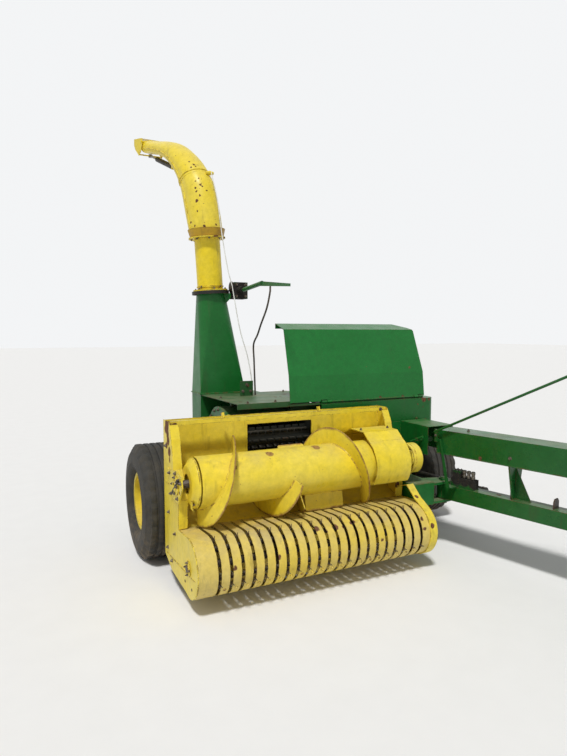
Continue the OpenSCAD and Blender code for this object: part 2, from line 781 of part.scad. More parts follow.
// Spout path. Columns: arc length, out, up, slope, depth, width, squareness
duct_rows = [
    [0, 0, seat, 90, 272, 272, 1],
    [1, 22, 200, 80, 270, 264, 0.75],
    [2, 66, 400, 77, 256, 256, 0.6],
    [3, 122, 505, 66, 228, 250, 0.5],
    [4, 191, 599, 53, 198, 244, 0.5],
    [5, 284, 690, 42, 170, 238, 0.5],
    [6, 399, 776, 31, 152, 232, 0.5],
    [7, 535, 842, 21, 128, 226, 0.5],
    [8, 702, 896, 15, 114, 220, 0.5],
    [9, 880, 950, 13, 112, 214, 0.5]];
duct_end = duct_rows[len(duct_rows) - 1];
cap_len = 145;

// Cap cylinder: its pin under the duct and its eye on the cap, [out, up] from the
// neck's upper flange
cap_pivot = [-12, 34];
cap_pin_r = 8;
cap_lug = [36.8, -75.6];
cap_eye_r = 11;
slack_pin_r = 6;
act_a = [470, 668];
act_b = [duct_end[1] + cap_lug[0] * cos(duct_end[3]) - cap_lug[1] * sin(duct_end[3]),
    duct_end[2] + cap_lug[0] * sin(duct_end[3]) + cap_lug[1] * cos(duct_end[3])];
act_len = norm(act_b - act_a);
act_angle = atan2(act_b[1] - act_a[1], act_b[0] - act_a[0]);

// Routes of the white cable and of the black hoses
cable_clip = [-12, 523];
clip_side = 58;
cable_path = [[-192, 452, 2929], [-170, 372, 2695], [-151, 322, 2409], [-116, 285, 2128], [-88, 270, 2008],
    [-76, 257, 1912], [-40, 221, 1646], [10, 194, 1444], [34, 165, 1260], [40, 150, 1120.3]];
hose_path = [[62, 152, 1120.3], [60, 158, 1250], [56, 160, 1400], [44, 140, 1530], [20, 0, 1610],
    [0, -114, 1690], [0, -225, 1810],
    [0, -285, 1930], [0, -285, 1961.7]];

// One point of a duct section: round over the back, squarer below
function duct_point(row, a, inset) =
    let (c = cos(a), s = sin(a), p = c < 0 ? row[6] : 1,
        n = sign(c) * pow(abs(c), p) * (row[4] / 2 - inset),
        b = sign(s) * pow(abs(s), c < 0 ? row[6] : 1) * (row[5] / 2 - inset))
    [b, row[1] - n * sin(row[3]), row[2] + n * cos(row[3])];

// Closed loft through the rows, inset from the outer skin
module duct_loft(rows, inset) {
    k = 20;
    n = len(rows) * k;
    pts = [for (r = rows, i = [0:k - 1]) duct_point(r, i * 360 / k, inset)];
    skin = [for (j = [0:len(rows) - 2], i = [0:k - 1]) let (a = j * k + i, b = j * k + (i + 1) % k)
        each [[a, b + k, b], [a, a + k, b + k]]];
    polyhedron(pts, concat(skin, [[for (i = [0:k - 1]) i]], [[for (i = [0:k - 1]) n - 1 - i]]));
}

// A row moved along its own slope
function duct_ahead(row, by) =
    [row[0], row[1] + by * cos(row[3]), row[2] + by * sin(row[3]), row[3], row[4], row[5], row[6]];

// Shell of the duct, open at both ends
module duct(rows, wall) {
    m = len(rows);
    bore = [duct_ahead(rows[0], -20), each [for (i = [1:m - 2]) rows[i]], duct_ahead(rows[m - 1], 20)];
    difference() {
        duct_loft(rows, 0);
        duct_loft(bore, wall);
    }
}

// Frame at the centre of the duct's end: +Y runs out along it
module at_duct_end() {
    on_spout() translate([0, duct_end[1], neck_top_z + duct_end[2]]) rotate([duct_end[3], 0, 0]) children();
}

// Frame of the cap's cylinder: its pin at the origin, +X towards the cap
module on_actuator() {
    on_spout() translate([0, act_a[0], neck_top_z + act_a[1]]) rotate([act_angle, 0, 0])
        rotate([0, 0, 90]) rotate([90, 0, 0]) children();
}

// Curved duct of the spout on the neck's flange, with the cap's pivots, the
// cylinder's ears and the clip of the cable
module spout_duct() {
    w = duct_end[5] / 2;
    color(yellow) place() {
        on_spout() translate([0, 0, neck_top_z]) duct(duct_rows, spout_wall);
        at_duct_end() for (side = [-1, 1])
            bar_x(side > 0 ? w - 30 : -w - gap - 6, side > 0 ? w + gap + 6 : -w + 30,
                cap_pivot[0], cap_pivot[1], cap_pin_r);
        on_spout() translate([0, 0, neck_top_z]) {
            bar_x(clip_side - 34, clip_side + 34, cable_clip[0], cable_clip[1], 18);
            for (x = [-cyl_ear_gap - 6, cyl_ear_gap]) along_x(x, x + 6) {
                translate(act_a) circle(r = 16);
                polygon([act_a + [-16, 0], act_a + [16, 0], act_a + [50, 102], act_a + [-24, 72]]);
            }
            bar_x(-cyl_ear_gap - 10, cyl_ear_gap + 10, act_a[0], act_a[1], 8);
        }
    }
}

// Deflector cap: an open channel hinged at the upper corners of the duct's end,
// with the lugs and the cross pin that its cylinder pulls
module spout_cap() {
    w = duct_end[5] / 2 + gap;
    d = duct_end[4] / 2;
    color(yellow) place() at_duct_end() {
        for (x = [-w - 3, w]) difference() {
            along_x(x, x + 3) polygon([[-30, d + 8], [cap_len, d + 2], [cap_len, 8],
                [cap_len * 0.8, -d * 0.6], [cap_lug[0] + 12, cap_lug[1]], [cap_lug[0], cap_lug[1] - 12],
                [cap_lug[0] - 12, cap_lug[1]], [-4, -d], [-34, d - 40]]);
            bar_x(x - 1, x + 4, cap_pivot[0], cap_pivot[1], cap_pin_r + fit);
        }
        along_x(-w - 3, w + 3) polygon([[12, d + 5], [cap_len, d - 1], [cap_len, d + 2], [12, d + 8]]);
        bar_x(-w - 1, w + 1, cap_lug[0], cap_lug[1], slack_pin_r);
    }
}

// Barrel of the cap's electric cylinder, hung under the duct by its ears
module cap_actuator() {
    color(black) place() on_actuator() cylinder_barrel(360, 22, 9, 8, 15);
}

// Rod of the cap's cylinder
module cap_rod() {
    color(steel) place() on_actuator() cylinder_rod(act_len, 290, 9, cap_eye_r, cap_eye_r + 6);
}

// White cable from the clip on the spout down to the bundle's foot
module spout_cable() {
    color("white") place() sweep(cable_path, 8, 8);
}

// Tube swept along hand-picked points with k sides
module sweep(path, d, k) {
    m = len(path);
    dirs = [for (i = [0:m - 1])
        let (v = path[min(i + 1, m - 1)] - path[max(i - 1, 0)]) v / norm(v)];
    sides = [for (t = dirs) let (s = cross(t, [0.3, 0.9, 0.1])) s / norm(s)];
    ups = [for (i = [0:m - 1]) cross(sides[i], dirs[i])];
    pts = [for (i = [0:m - 1], j = [0:k - 1])
        path[i] + d / 2 * (cos(j * 360 / k) * sides[i] + sin(j * 360 / k) * ups[i])];
    skin = [for (i = [0:m - 2], j = [0:k - 1]) let (a = i * k + j, b = i * k + (j + 1) % k)
        each [[a, b, b + k], [a, b + k, a + k]]];
    polyhedron(pts, concat(skin, [[for (j = [k - 1:-1:0]) j]], [[for (j = [0:k - 1]) (m - 1) * k + j]]));
}

// Side panel outline as [y, z]
module panel_outline() {
    translate([reel_y, reel_z]) circle(r = band_r, $fn = 64);
    polygon([[reel_y - 40, reel_z - band_r + 5], [-610, 113], [-440, 169], [back_y + 20, head_top - 3],
        [bar_y0 - 4, head_top - 3], each edge, [reel_y + 20, reel_z + band_r - 1],
        [reel_y - 60, reel_z + 140]]);
}

// Plate that carries the auger's bearing ahead of the panel's edge, as [y, z]
module bearing_outline() {
    polygon([[-560, 770], [-637, 770], [-769, 794], [-880, 777], [-898, 709], [-803, 594], [-640, 600]]);
}

// Strap that bends from the flange of the left panel over the nose
module nose_strap() {
    translate([reel_y, reel_z]) {
        difference() {
            circle(r = band_r + 7, $fn = 64);
            circle(r = band_r + 1, $fn = 64);
            polygon([[0, 0], [-192, 351], [-192, 630], [290, 630], [290, -370], [-90, -370]]);
        }
        polygon([[-93, 156.5], [-1, 207], [89, 282], [214, 241], [214, 235], [90, 275],
            [-1, 200], [-90.1, 151.3]]);
    }
}

// Side panels with their flanges and bearing plates, rear sheet with the throat,
// trough, lower cross tube, top bar, hooks and the arms that hang the head
module head_frame() {
    behind = [for (p = edge) p + [8, 0]];
    color(yellow) place() {
        for (side = [-1, 1]) {
            x = side > 0 ? panel_x - panel_t : -panel_x;
            x_in = side > 0 ? panel_x - flange_w : -panel_x;
            x_out = side > 0 ? panel_x - 1 : -panel_x - bearing_t;
            difference() {
                union() {
                    along_x(x, x + panel_t) panel_outline();
                    along_x(x_in, x_in + flange_w)
                        polygon([each edge, each [for (i = [len(edge) - 1:-1:0]) behind[i]]]);
                    along_x(x_out, x_out + bearing_t + 1) bearing_outline();
                }
                bar_x(-panel_x - 20, panel_x + 20, auger_y, auger_z, auger_shaft_r + fit);
                bar_x(-panel_x - 20, panel_x + 20, reel_y, reel_z, reel_shaft_r + fit);
            }
        }
        along_x(panel_x - flange_w, panel_x) nose_strap();
        along_x(panel_x - panel_t, panel_x) translate([reel_y, reel_z]) rotate(245)
            translate([band_r - 6, -8]) square([10, 16]);
        difference() {
            block([-panel_x + panel_t, back_y, 300], [panel_x - panel_t, back_y + panel_t, head_top - 3]);
            block([throat_x0, back_y - 1, throat_z0], [throat_x1, back_y + panel_t + 1, throat_z1]);
        }
        block([-panel_x + panel_t, bar_y0, head_top - bar_t], [panel_x - panel_t, bar_y0 + bar_t, head_top]);
        for (x = hook_xs)
            along_x(x, x + 14) polygon([[bar_y0 + 4, head_top - 2], [bar_y0 + 26, head_top - 2],
                [bar_y0 + 38, head_top + 30], [bar_y0 + 12, head_top + 35]]);
        along_x(-panel_x + panel_t, panel_x - panel_t) {
            difference() {
                translate([auger_y, auger_z]) circle(r = trough_r + panel_t, $fn = 64);
                translate([auger_y, auger_z]) circle(r = trough_r, $fn = 64);
                translate([auger_y - 400, auger_z - 110]) square([800, 500]);
                translate([auger_y - 400, auger_z - 400]) square([400 + trough_y0 - auger_y, 400]);
            }
            translate([auger_y + trough_r - 20, throat_z0 - panel_t])
                square([back_y - auger_y - trough_r + 20, panel_t]);
        }
        tube([-panel_x + panel_t, -560, 250], [panel_x - panel_t, -480, 330], 6, 0);
        block([-panel_x + panel_t, -520, 330], [panel_x - panel_t, -514, 556]);
        for (side = [-1, 1]) difference() {
            along_x(side > 0 ? arm_x : -arm_x - arm_t, side > 0 ? arm_x + arm_t : -arm_x) union() {
                translate([hinge_y, hinge_z]) circle(r = 42);
                translate([back_y + panel_t - 1, hinge_z - 42])
                    square([hinge_y - back_y - panel_t + 1, 84]);
            }
            bar_x(side > 0 ? arm_x - 1 : -arm_x - arm_t - 1, side > 0 ? arm_x + arm_t + 1 : -arm_x + 1,
                hinge_y, hinge_z, hinge_pin_r + fit);
        }
        for (x = [lift_x - cyl_ear_gap - ear_t, lift_x + cyl_ear_gap]) difference() {
            along_x(x, x + ear_t) union() {
                translate(lift_b) circle(r = 28);
                translate([back_y + panel_t - 1, lift_b[1] - 28])
                    square([lift_b[0] - back_y - panel_t + 1, 56]);
            }
            bar_x(x - 1, x + ear_t + 1, lift_b[0], lift_b[1], slack_pin_r);
        }
        bar_x(lift_x - cyl_ear_gap - ear_t, lift_x + cyl_ear_gap + ear_t, lift_b[0], lift_b[1], slack_pin_r);
    }
}

// Outline of the bands as [y, z]: round the nose, sloping back above, level below
module band_outline(r, reach) {
    translate([reel_y, reel_z]) {
        circle(r = r, $fn = 64);
        rotate(-band_slope) square([reach / cos(band_slope), r]);
        translate([0, -r]) square([reach, r + 1]);
    }
}

// Section of one stripper band
module band_section() {
    difference() {
        intersection() {
            band_outline(band_r, band_reach + 40);
            translate([reel_y - 400, reel_z - 400]) square([400 + band_reach, 800]);
        }
        band_outline(band_r - band_t, band_reach + 60);
    }
}

// Stripper bands with the wide end wraps, on the cross plate behind them
module stripper_bands() {
    half = slot_count * band_pitch / 2;
    inner = panel_x - panel_t - seat;
    color(yellow) place() {
        for (i = [1:slot_count - 1])
            along_x(-half + (i - 0.5) * band_pitch + slot_w / 2, -half + (i + 0.5) * band_pitch - slot_w / 2)
                band_section();
        along_x(half - (band_pitch - slot_w) / 2, inner) band_section();
        along_x(-inner, -half + (band_pitch - slot_w) / 2) band_section();
        along_x(-inner, inner) intersection() {
            band_outline(band_r, band_reach + 40);
            translate([reel_y + band_reach - 5, 0]) square([5, 800]);
        }
    }
}

// Fixed sheet cone that guards the auger's right end
module auger_end_cone() {
    low = 110;
    color(yellow) place() translate([-panel_x + flange_w + seat, auger_y, auger_z]) rotate([0, 90, 0])
        rotate_extrude() polygon([[60, 0], [low, 0], [auger_r - 4, cone_depth - 12],
            [auger_r - 4, cone_depth], [auger_r - 8, cone_depth], [auger_r - 8, cone_depth - 11],
            [low - 4, 4], [60, 4]]);
}

// Sheet shield over the auger's left end: round in front, faceted at the back
module auger_end_shield() {
    rear = back_y - auger_y - seat;
    module outline(inset) {
        translate([auger_y, auger_z]) circle(r = 190 - inset, $fn = 64);
        translate([auger_y, auger_z]) polygon([[-40, -60], [-90 + inset, 168 - inset],
            [-20 + inset / 2, 224 - inset], [150 - inset / 2, 226 - inset],
            [rear + (inset > 0 ? 1 : 0), 158 - inset], [rear + (inset > 0 ? 1 : 0), -60]]);
    }
    color(yellow) place() along_x(shield_x0, panel_x - flange_w - seat) difference() {
        outline(0);
        outline(5);
        translate([auger_y - 300, auger_z - 360]) square([800, 240]);
        translate([auger_y, auger_z - 240]) square([400, 200]);
    }
}

// Screw flight from angle a0 over the given turn; hand is 1 or -1
module flight(x0, a0, turn, hand) {
    steps = ceil(turn / 12);
    pts = [for (i = [0:steps])
        let (a = a0 + turn * i / steps, x = x0 + hand * flight_pitch * turn * i / steps / 360)
        each [for (q = [[auger_r - 8, 0], [flight_r, 0], [flight_r, flight_t], [auger_r - 8, flight_t]])
            [x + q[1], auger_y - q[0] * cos(a), auger_z + q[0] * sin(a)]]];
    n = len(pts);
    skin = [for (i = [0:steps - 1], j = [0:3]) let (a = i * 4 + j, b = i * 4 + (j + 1) % 4)
        each (j == 2 ? [[a, a + 4, b], [b, a + 4, b + 4]] : [[a, b + 4, b], [a, a + 4, b + 4]])];
    ends = [[0, 1, 2, 3], [n - 1, n - 2, n - 3, n - 4]];
    polyhedron(pts, concat(skin, ends));
}

// Cross auger: tube on its shaft, two opposed flights, centre paddles and the
// clutch drum outside the left panel
module auger() {
    end_x = panel_x - flange_w - 14;
    color(yellow) place() {
        difference() {
            bar_x(auger_x0, end_x, auger_y, auger_z, auger_r);
            bar_x(auger_x0 - 1, end_x + 1, auger_y, auger_z, auger_r - 6);
        }
        for (x = [auger_x0 + 30, 0, end_x - 40], a = [0, 90])
            translate([x, auger_y, auger_z]) rotate([a, 0, 0]) translate([0, -auger_r + 2, -25])
                cube([8, 2 * auger_r - 4, 50]);
        bar_x(-panel_x - 14, 980, auger_y, auger_z, auger_shaft_r);
        difference() {
            bar_x(panel_x + 30, 950, auger_y, auger_z, 110);
            bar_x(panel_x + 29, 926, auger_y, auger_z, 100);
        }
        flight(auger_x0 + 5, -90, 445, 1);
        flight(shield_x0 - flight_t - gap, -90, 400, -1);
        for (p = [[-100, 20, 290], [28, -60, 200]])
            translate([p[1], auger_y, auger_z]) rotate([p[0], 0, 0])
                translate([0, auger_r - 4, -4]) cube([p[2], flight_r - auger_r + 4, 8]);
    }
}

// Pickup reel: shaft, discs, four bars and a tine in every slot
module tine_reel() {
    half = slot_count * band_pitch / 2;
    bar_r = 118;
    color(black) place() {
        bar_x(-panel_x - 14, panel_x + 14, reel_y, reel_z, reel_shaft_r);
        for (x = [-panel_x + 90, -panel_x / 3, panel_x / 3, panel_x - 98])
            bar_x(x, x + 8, reel_y, reel_z, bar_r + 22);
        for (k = [0:3])
            translate([0, reel_y, reel_z]) rotate([k * 90 + 20, 0, 0]) {
                translate([-panel_x + 60, -14, bar_r - 6]) cube([2 * panel_x - 120, 28, 12]);
                for (i = [0:slot_count - 1])
                    translate([-half + (i + 0.5) * band_pitch, 0, bar_r])
                        cylinder(h = tine_r - bar_r, r = tine_wire_r, $fn = 6);
            }
    }
}

// Cylinder barrel along +X from its pin; ears is the half width of its eye
module cylinder_barrel(length, r, rod_r, pin_r, eye_r) {
    half = cyl_ear_gap - 4;
    neck = ear_r + 2 * gap;
    difference() {
        union() {
            translate([0, 0, -half]) cylinder(h = 2 * half, r = eye_r);
            block([0, -eye_r * 0.8, -half], [neck + 2, eye_r * 0.8, half]);
            translate([neck, 0, 0]) rotate([0, 90, 0]) cylinder(h = length - neck, r = r);
        }
        translate([0, 0, -half - 1]) cylinder(h = 2 * half + 2, r = pin_r + fit);
        translate([neck + 12, 0, 0]) rotate([0, 90, 0]) cylinder(h = length, r = rod_r + fit);
    }
}

// Cylinder rod from `start` to the eye at `reach`
module cylinder_rod(reach, start, rod_r, pin_r, eye_r) {
    half = cyl_ear_gap - 4;
    difference() {
        union() {
            translate([start, 0, 0]) rotate([0, 90, 0]) cylinder(h = reach - eye_r + 6 - start, r = rod_r);
            translate([reach, 0, -half]) cylinder(h = 2 * half, r = eye_r);
        }
        translate([reach, 0, -half - 1]) cylinder(h = 2 * half + 2, r = pin_r);
    }
}

// Frame of the lift cylinder: its pin at the origin, +X towards the head
module on_lift() {
    translate([lift_x, lift_a[0], lift_a[1]]) rotate([lift_angle, 0, 0]) rotate([0, 0, 90])
        rotate([90, 0, 0]) children();
}

module lift_barrel() {
    color(black) place() on_lift() cylinder_barrel(290, cyl_r, cyl_rod_r, cyl_pin_r, cyl_eye_r);
}

module lift_rod() {
    color(steel) place() on_lift() cylinder_rod(lift_len, 70, cyl_rod_r, cyl_pin_r, cyl_eye_r);
}

// Frame of the swing cylinder: its pin at the origin, +X towards the tongue
module on_swing() {
    translate([swing_a[0], swing_a[1], tongue_z]) rotate([0, 0, swing_angle]) children();
}

module swing_barrel() {
    color(black) place() on_swing() cylinder_barrel(700, cyl_r, cyl_rod_r, cyl_pin_r, cyl_eye_r);
}

module swing_rod() {
    color(steel) place() on_swing() cylinder_rod(swing_len, 500, cyl_rod_r, cyl_pin_r, cyl_eye_r);
}

// Tongue: box tube, pivot boss, hitch clevis, hangers of the shield and the
// driveline, and the ears of the swing cylinder
module tongue() {
    half = tongue_w / 2;
    z0 = tongue_z - tongue_h / 2;
    z1 = tongue_z + tongue_h / 2;
    inner = shield_w / 2 - 4;
    color(green) place() on_tongue() {
        difference() {
            union() {
                translate([0, 0, z0]) cylinder(h = tongue_h, r = half);
                tube([-half, -tongue_len + 90, z0], [half, -20, z1], rail_wall, 1);
            }
            translate([0, 0, z0 - 1]) cylinder(h = tongue_h + 2, r = pivot_r + fit);
        }
        for (z = [z0, z1 - 20]) difference() {
            union() {
                block([-hitch_r, -tongue_len, z], [hitch_r, -tongue_len + 150, z + 20]);
                translate([0, -tongue_len, z]) cylinder(h = 20, r = hitch_r);
            }
            translate([0, -tongue_len, z - 1]) cylinder(h = 22, r = hitch_pin_r);
        }
        for (y = hanger_ys) {
            difference() {
                along_y(y, y + 10) polygon([[-40, z1], [40, z1], [inner, shield_z0 + 10],
                    [inner, driveline_z + 40],
                    [-inner, driveline_z + 40], [-inner, shield_z0 + 10]]);
                bar_y(y - 1, y + 11, 0, driveline_z, driveline_r + fit);
            }
            along_x(-4, 4) polygon([[y, z1], [y, shield_z0 - 20], [y - 110, z1]]);
        }
        for (z = [tongue_z - cyl_ear_gap - ear_t, tongue_z + cyl_ear_gap])
            difference() {
                union() {
                    block([half - 4, -swing_u - 40, z], [swing_v, -swing_u + 40, z + ear_t]);
                    translate([swing_v, -swing_u, z]) cylinder(h = ear_t, r = ear_r);
                }
                translate([swing_v, -swing_u, z - 1]) cylinder(h = ear_t + 2, r = slack_pin_r);
            }
        translate([swing_v, -swing_u, tongue_z - cyl_ear_gap - ear_t])
            cylinder(h = 2 * (cyl_ear_gap + ear_t), r = slack_pin_r);
    }
}

// Sheet-metal channel over the driveline
module driveline_shield() {
    half = shield_w / 2;
    color(green) place() on_tongue() along_y(-tongue_len + shield_front, 0) difference() {
        translate([-half, shield_z0]) square([shield_w, shield_h]);
        translate([-half + 4, shield_z0 - 1]) square([shield_w - 8, shield_h - 3]);
    }
}

// Driveline shaft along the tongue with a splined stub at its front, a yoke at its
// rear and a collar at each hanger
module driveline() {
    color(steel) place() on_tongue() {
        bar_y(-tongue_len - 40, -tongue_len + 40, 0, driveline_z, stub_r);
        bar_y(-tongue_len + 40 - fit, -70, 0, driveline_z, driveline_r);
        for (y = hanger_ys) bar_y(y + 10 + seat, y + 34, 0, driveline_z, driveline_r + 14);
        bar_y(-130, -70, 0, driveline_z, driveline_r + 20);
    }
}

// Parking jack on the tongue's right side: outer tube, inner leg, foot and crank
module jack() {
    out = shield_w / 2 + gap + 32;
    color(black) place() on_tongue() translate([-out, -tongue_len + 380, 0]) {
        block([-32, -32, 300], [32, 32, driveline_z]);
        block([-25, -25, 8], [25, 25, 300]);
        cylinder(h = 8, r = 100);
        block([32, -60, tongue_z - 45], [out - tongue_w / 2, 60, tongue_z + 45]);
        translate([0, 0, driveline_z]) cylinder(h = 40, r = 10);
        bar_y(-150, 20, 0, driveline_z + 36, 8);
    }
}

// Long crank rod of the spout on two brackets of the driveline shield
module control_rod() {
    color(green) place() on_tongue() {
        translate([rod_x, 0, rod_z0]) rotate([90 - rod_rise, 0, 0]) cylinder(h = rod_len, r = 9);
        for (y = [-15, 23 - rod_len * cos(rod_rise)]) {
            z = rod_z0 - y * tan(rod_rise);
            block([rod_x - 6, y - 10, shield_z0 + 90], [rod_x + 6, y + 10, z + 14]);
            block([rod_x - 6, y - 10, shield_z0 + 90], [-shield_w / 2, y + 10, shield_z0 + 110]);
        }
    }
}

// Valve block with hose couplers on a plate of the tongue, and the lever beside it
module hose_valve() {
    z1 = tongue_z + tongue_h / 2;
    x = -shield_w / 2 - 12;
    color(black) place() on_tongue() {
        block([x - 6, -150, z1], [20, -96, z1 + 8]);
        block([-50, -280, z1], [20, -97, z1 + 70]);
        block([-50, -170, z1], [10, -110, z1 + 125]);
        for (y = [-260, -225, -190])
            translate([-20, y, z1 + 70]) cylinder(h = 60, r = 13);
    }
    color(green) place() on_tongue()
        along_x(x - 6, x) polygon([[-128, z1], [-97, z1], [-36, z1 + 349], [-46, z1 + 349]]);
}

axle();
front_frame();
rear_frame();
tyre_right();
rim_right();
tyre_left();
rim_left();
cutter_housing();
cutter_drum();
feed_housing();
feed_roll_upper();
feed_roll_lower();
blower_housing();
blower_rotor();
tower();
deck();
gearbox();
driveline_cover();
apron();
hood();
hood_stays();
rotator();
rotator_hose();
spout_neck();
spout_duct();
spout_cap();
cap_actuator();
cap_rod();
spout_cable();
head_frame();
stripper_bands();
auger_end_cone();
auger_end_shield();
auger();
tine_reel();
lift_barrel();
lift_rod();
tongue();
driveline_shield();
driveline();
jack();
control_rod();
hose_valve();
swing_barrel();
swing_rod();
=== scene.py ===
# Forage harvester, pull type, with a row of spring tines at the front and a spout behind.
import bpy
import bmesh
import math
from mathutils import Matrix, Vector


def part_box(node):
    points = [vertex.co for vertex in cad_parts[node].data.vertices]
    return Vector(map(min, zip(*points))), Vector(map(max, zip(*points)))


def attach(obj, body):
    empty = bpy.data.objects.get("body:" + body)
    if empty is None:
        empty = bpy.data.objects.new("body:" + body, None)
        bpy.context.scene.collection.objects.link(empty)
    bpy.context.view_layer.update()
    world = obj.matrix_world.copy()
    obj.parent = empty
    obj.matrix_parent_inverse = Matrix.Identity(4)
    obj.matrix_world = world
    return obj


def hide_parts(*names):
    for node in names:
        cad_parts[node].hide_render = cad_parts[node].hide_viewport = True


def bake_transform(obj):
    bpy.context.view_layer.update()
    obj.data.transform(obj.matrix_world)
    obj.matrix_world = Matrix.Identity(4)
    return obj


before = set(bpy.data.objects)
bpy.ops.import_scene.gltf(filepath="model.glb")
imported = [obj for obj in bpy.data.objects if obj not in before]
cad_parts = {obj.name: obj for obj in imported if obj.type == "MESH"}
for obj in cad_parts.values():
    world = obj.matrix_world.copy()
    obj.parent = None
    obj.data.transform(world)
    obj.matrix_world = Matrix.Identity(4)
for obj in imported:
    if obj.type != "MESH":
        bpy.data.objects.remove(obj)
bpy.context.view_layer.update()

# Camera: stands in front of the right front corner at eye height, looking back
# and slightly down across the head, the spout and the drawbar.
eye_height = 1.63
eye_place = (-2.2019, -3.2579, eye_height)
look_turn = -25.65
look_down = 4.63
lens_mm = 27.048
camera_data = bpy.data.cameras.new("view_camera")
camera_data.sensor_width = 36
camera_data.lens = lens_mm
camera = bpy.data.objects.new("view_camera", camera_data)
camera.location = eye_place
camera.rotation_euler = (math.radians(90 - look_down), 0, math.radians(look_turn))
bpy.context.collection.objects.link(camera)
bpy.context.scene.camera = camera

# Ground and light: a plain pale floor, one high soft lamp from the front right
# and an even pale sky that fills the shadows.
floor_reach = 60
floor_colour = (0.80, 0.79, 0.77, 1)
floor_second = (0.84, 0.83, 0.81, 1)
floor_rough = 0.95
sky_colour = (0.86, 0.88, 0.90, 1)
sky_seen_colour = (0.90, 0.91, 0.92, 1)
fill_strength = 0.40
lamp_energy = 2.55
lamp_spread = math.radians(7)
lamp_from = Vector((-0.42, -0.62, 1.25))


def feed(tree, socket, value):
    """Links an input to another node's output, or gives it a plain value."""
    if isinstance(value, bpy.types.NodeSocket):
        tree.links.new(value, socket)
    else:
        socket.default_value = value


def add_node(tree, kind, settings=None, **sockets):
    """New node; each key is an input's name with _ for a space, or i and its number."""
    made = tree.nodes.new(kind)
    for key, value in (settings or {}).items():
        setattr(made, key, value)
    for key, value in sockets.items():
        by_number = key[0] == "i" and key[1:].isdigit()
        feed(tree, made.inputs[int(key[1:]) if by_number else key.replace("_", " ")], value)
    return made


class Finish:
    """A new node material, with a short way to lay each kind of node that recurs."""

    def __init__(self, name):
        self.material = bpy.data.materials.new(name)
        self.material.use_nodes = True
        self.tree = self.material.node_tree
        self.shader = self.tree.nodes["Principled BSDF"]
        self.place = add_node(self.tree, "ShaderNodeTexCoord").outputs["Object"]

    def node(self, kind, settings=None, **sockets):
        return add_node(self.tree, kind, settings, **sockets)

    def noise(self, scale, detail=4.0, rough=0.6, vector=None):
        return self.node("ShaderNodeTexNoise", Vector=self.place if vector is None else vector, Scale=scale,
                         Detail=detail, Roughness=rough).outputs["Fac"]

    def ramp(self, value, low, high, out_low=0.0, out_high=1.0):
        return self.node("ShaderNodeMapRange", Value=value, i1=low, i2=high, i3=out_low,
                         i4=out_high).outputs[0]

    def maths(self, kind, a, b):
        return self.node("ShaderNodeMath", {"operation": kind}, i0=a, i1=b).outputs[0]

    def vector(self, kind, a, b):
        made = self.node("ShaderNodeVectorMath", {"operation": kind}, i0=a, i1=b)
        return made.outputs["Value" if kind in ("DISTANCE", "DOT_PRODUCT") else "Vector"]

    def mix(self, factor, a, b, kind="MIX"):
        return self.node("ShaderNodeMix", {"data_type": "RGBA", "blend_type": kind}, Factor=factor, i6=a,
                         i7=b).outputs[2]

    def coat(self, colour, roughness, height=None, strength=0.5, distance=0.0012):
        """Feeds the surface shader, with a bump from `height`, and gives the material."""
        feed(self.tree, self.shader.inputs["Base Color"], colour)
        feed(self.tree, self.shader.inputs["Roughness"], roughness)
        if height is not None:
            bump = self.node("ShaderNodeBump", Strength=strength, Distance=distance, Height=height)
            feed(self.tree, self.shader.inputs["Normal"], bump.outputs[0])
        return self.material


def mesh_object(name, mesh, material, smooth_angle=None):
    made = bpy.data.objects.new(name, mesh)
    bpy.context.collection.objects.link(made)
    mesh.materials.clear()
    mesh.materials.append(material)
    if smooth_angle is not None:
        mesh.shade_smooth()
        mesh.set_sharp_from_angle(angle=math.radians(smooth_angle))
    return made


floor_mesh = bpy.data.meshes.new("floor")
floor_corners = [(x * floor_reach, y * floor_reach, 0) for x, y in ((-1, -1), (1, -1), (1, 1), (-1, 1))]
floor_mesh.from_pydata(floor_corners, [], [(0, 1, 2, 3)])
floor_finish = Finish("pale_floor")
floor_paint = floor_finish.mix(floor_finish.noise(6.0, 6.0, 0.5), floor_colour, floor_second)
mesh_object("floor", floor_mesh, floor_finish.coat(floor_paint, floor_rough))

sky = bpy.data.worlds.new("pale_sky")
bpy.context.scene.world = sky
sky.use_nodes = True
sky_tree = sky.node_tree
seen = add_node(sky_tree, "ShaderNodeLightPath")
seen_or_glossy = add_node(sky_tree, "ShaderNodeMath", {"operation": "MAXIMUM"},
                          i0=seen.outputs["Is Camera Ray"], i1=seen.outputs["Is Glossy Ray"])
seen_any = add_node(sky_tree, "ShaderNodeMath", {"operation": "MAXIMUM"}, i0=seen_or_glossy.outputs[0],
                    i1=seen.outputs["Is Transmission Ray"])
sky_fill = sky_tree.nodes["Background"]
sky_fill.inputs["Color"].default_value = sky_colour
sky_fill.inputs["Strength"].default_value = fill_strength
sky_seen = add_node(sky_tree, "ShaderNodeBackground", Color=sky_seen_colour, Strength=1.0)
sky_mix = add_node(sky_tree, "ShaderNodeMixShader", i0=seen_any.outputs[0], i1=sky_fill.outputs[0],
                   i2=sky_seen.outputs[0])
sky_tree.links.new(sky_mix.outputs[0], sky_tree.nodes["World Output"].inputs["Surface"])
lamp_data = bpy.data.lights.new("high_lamp", "SUN")
lamp_data.energy = lamp_energy
lamp_data.angle = lamp_spread
lamp = bpy.data.objects.new("high_lamp", lamp_data)
lamp.rotation_euler = lamp_from.to_track_quat("Z", "Y").to_euler()
bpy.context.collection.objects.link(lamp)
bpy.context.scene.view_settings.view_transform = "Standard"

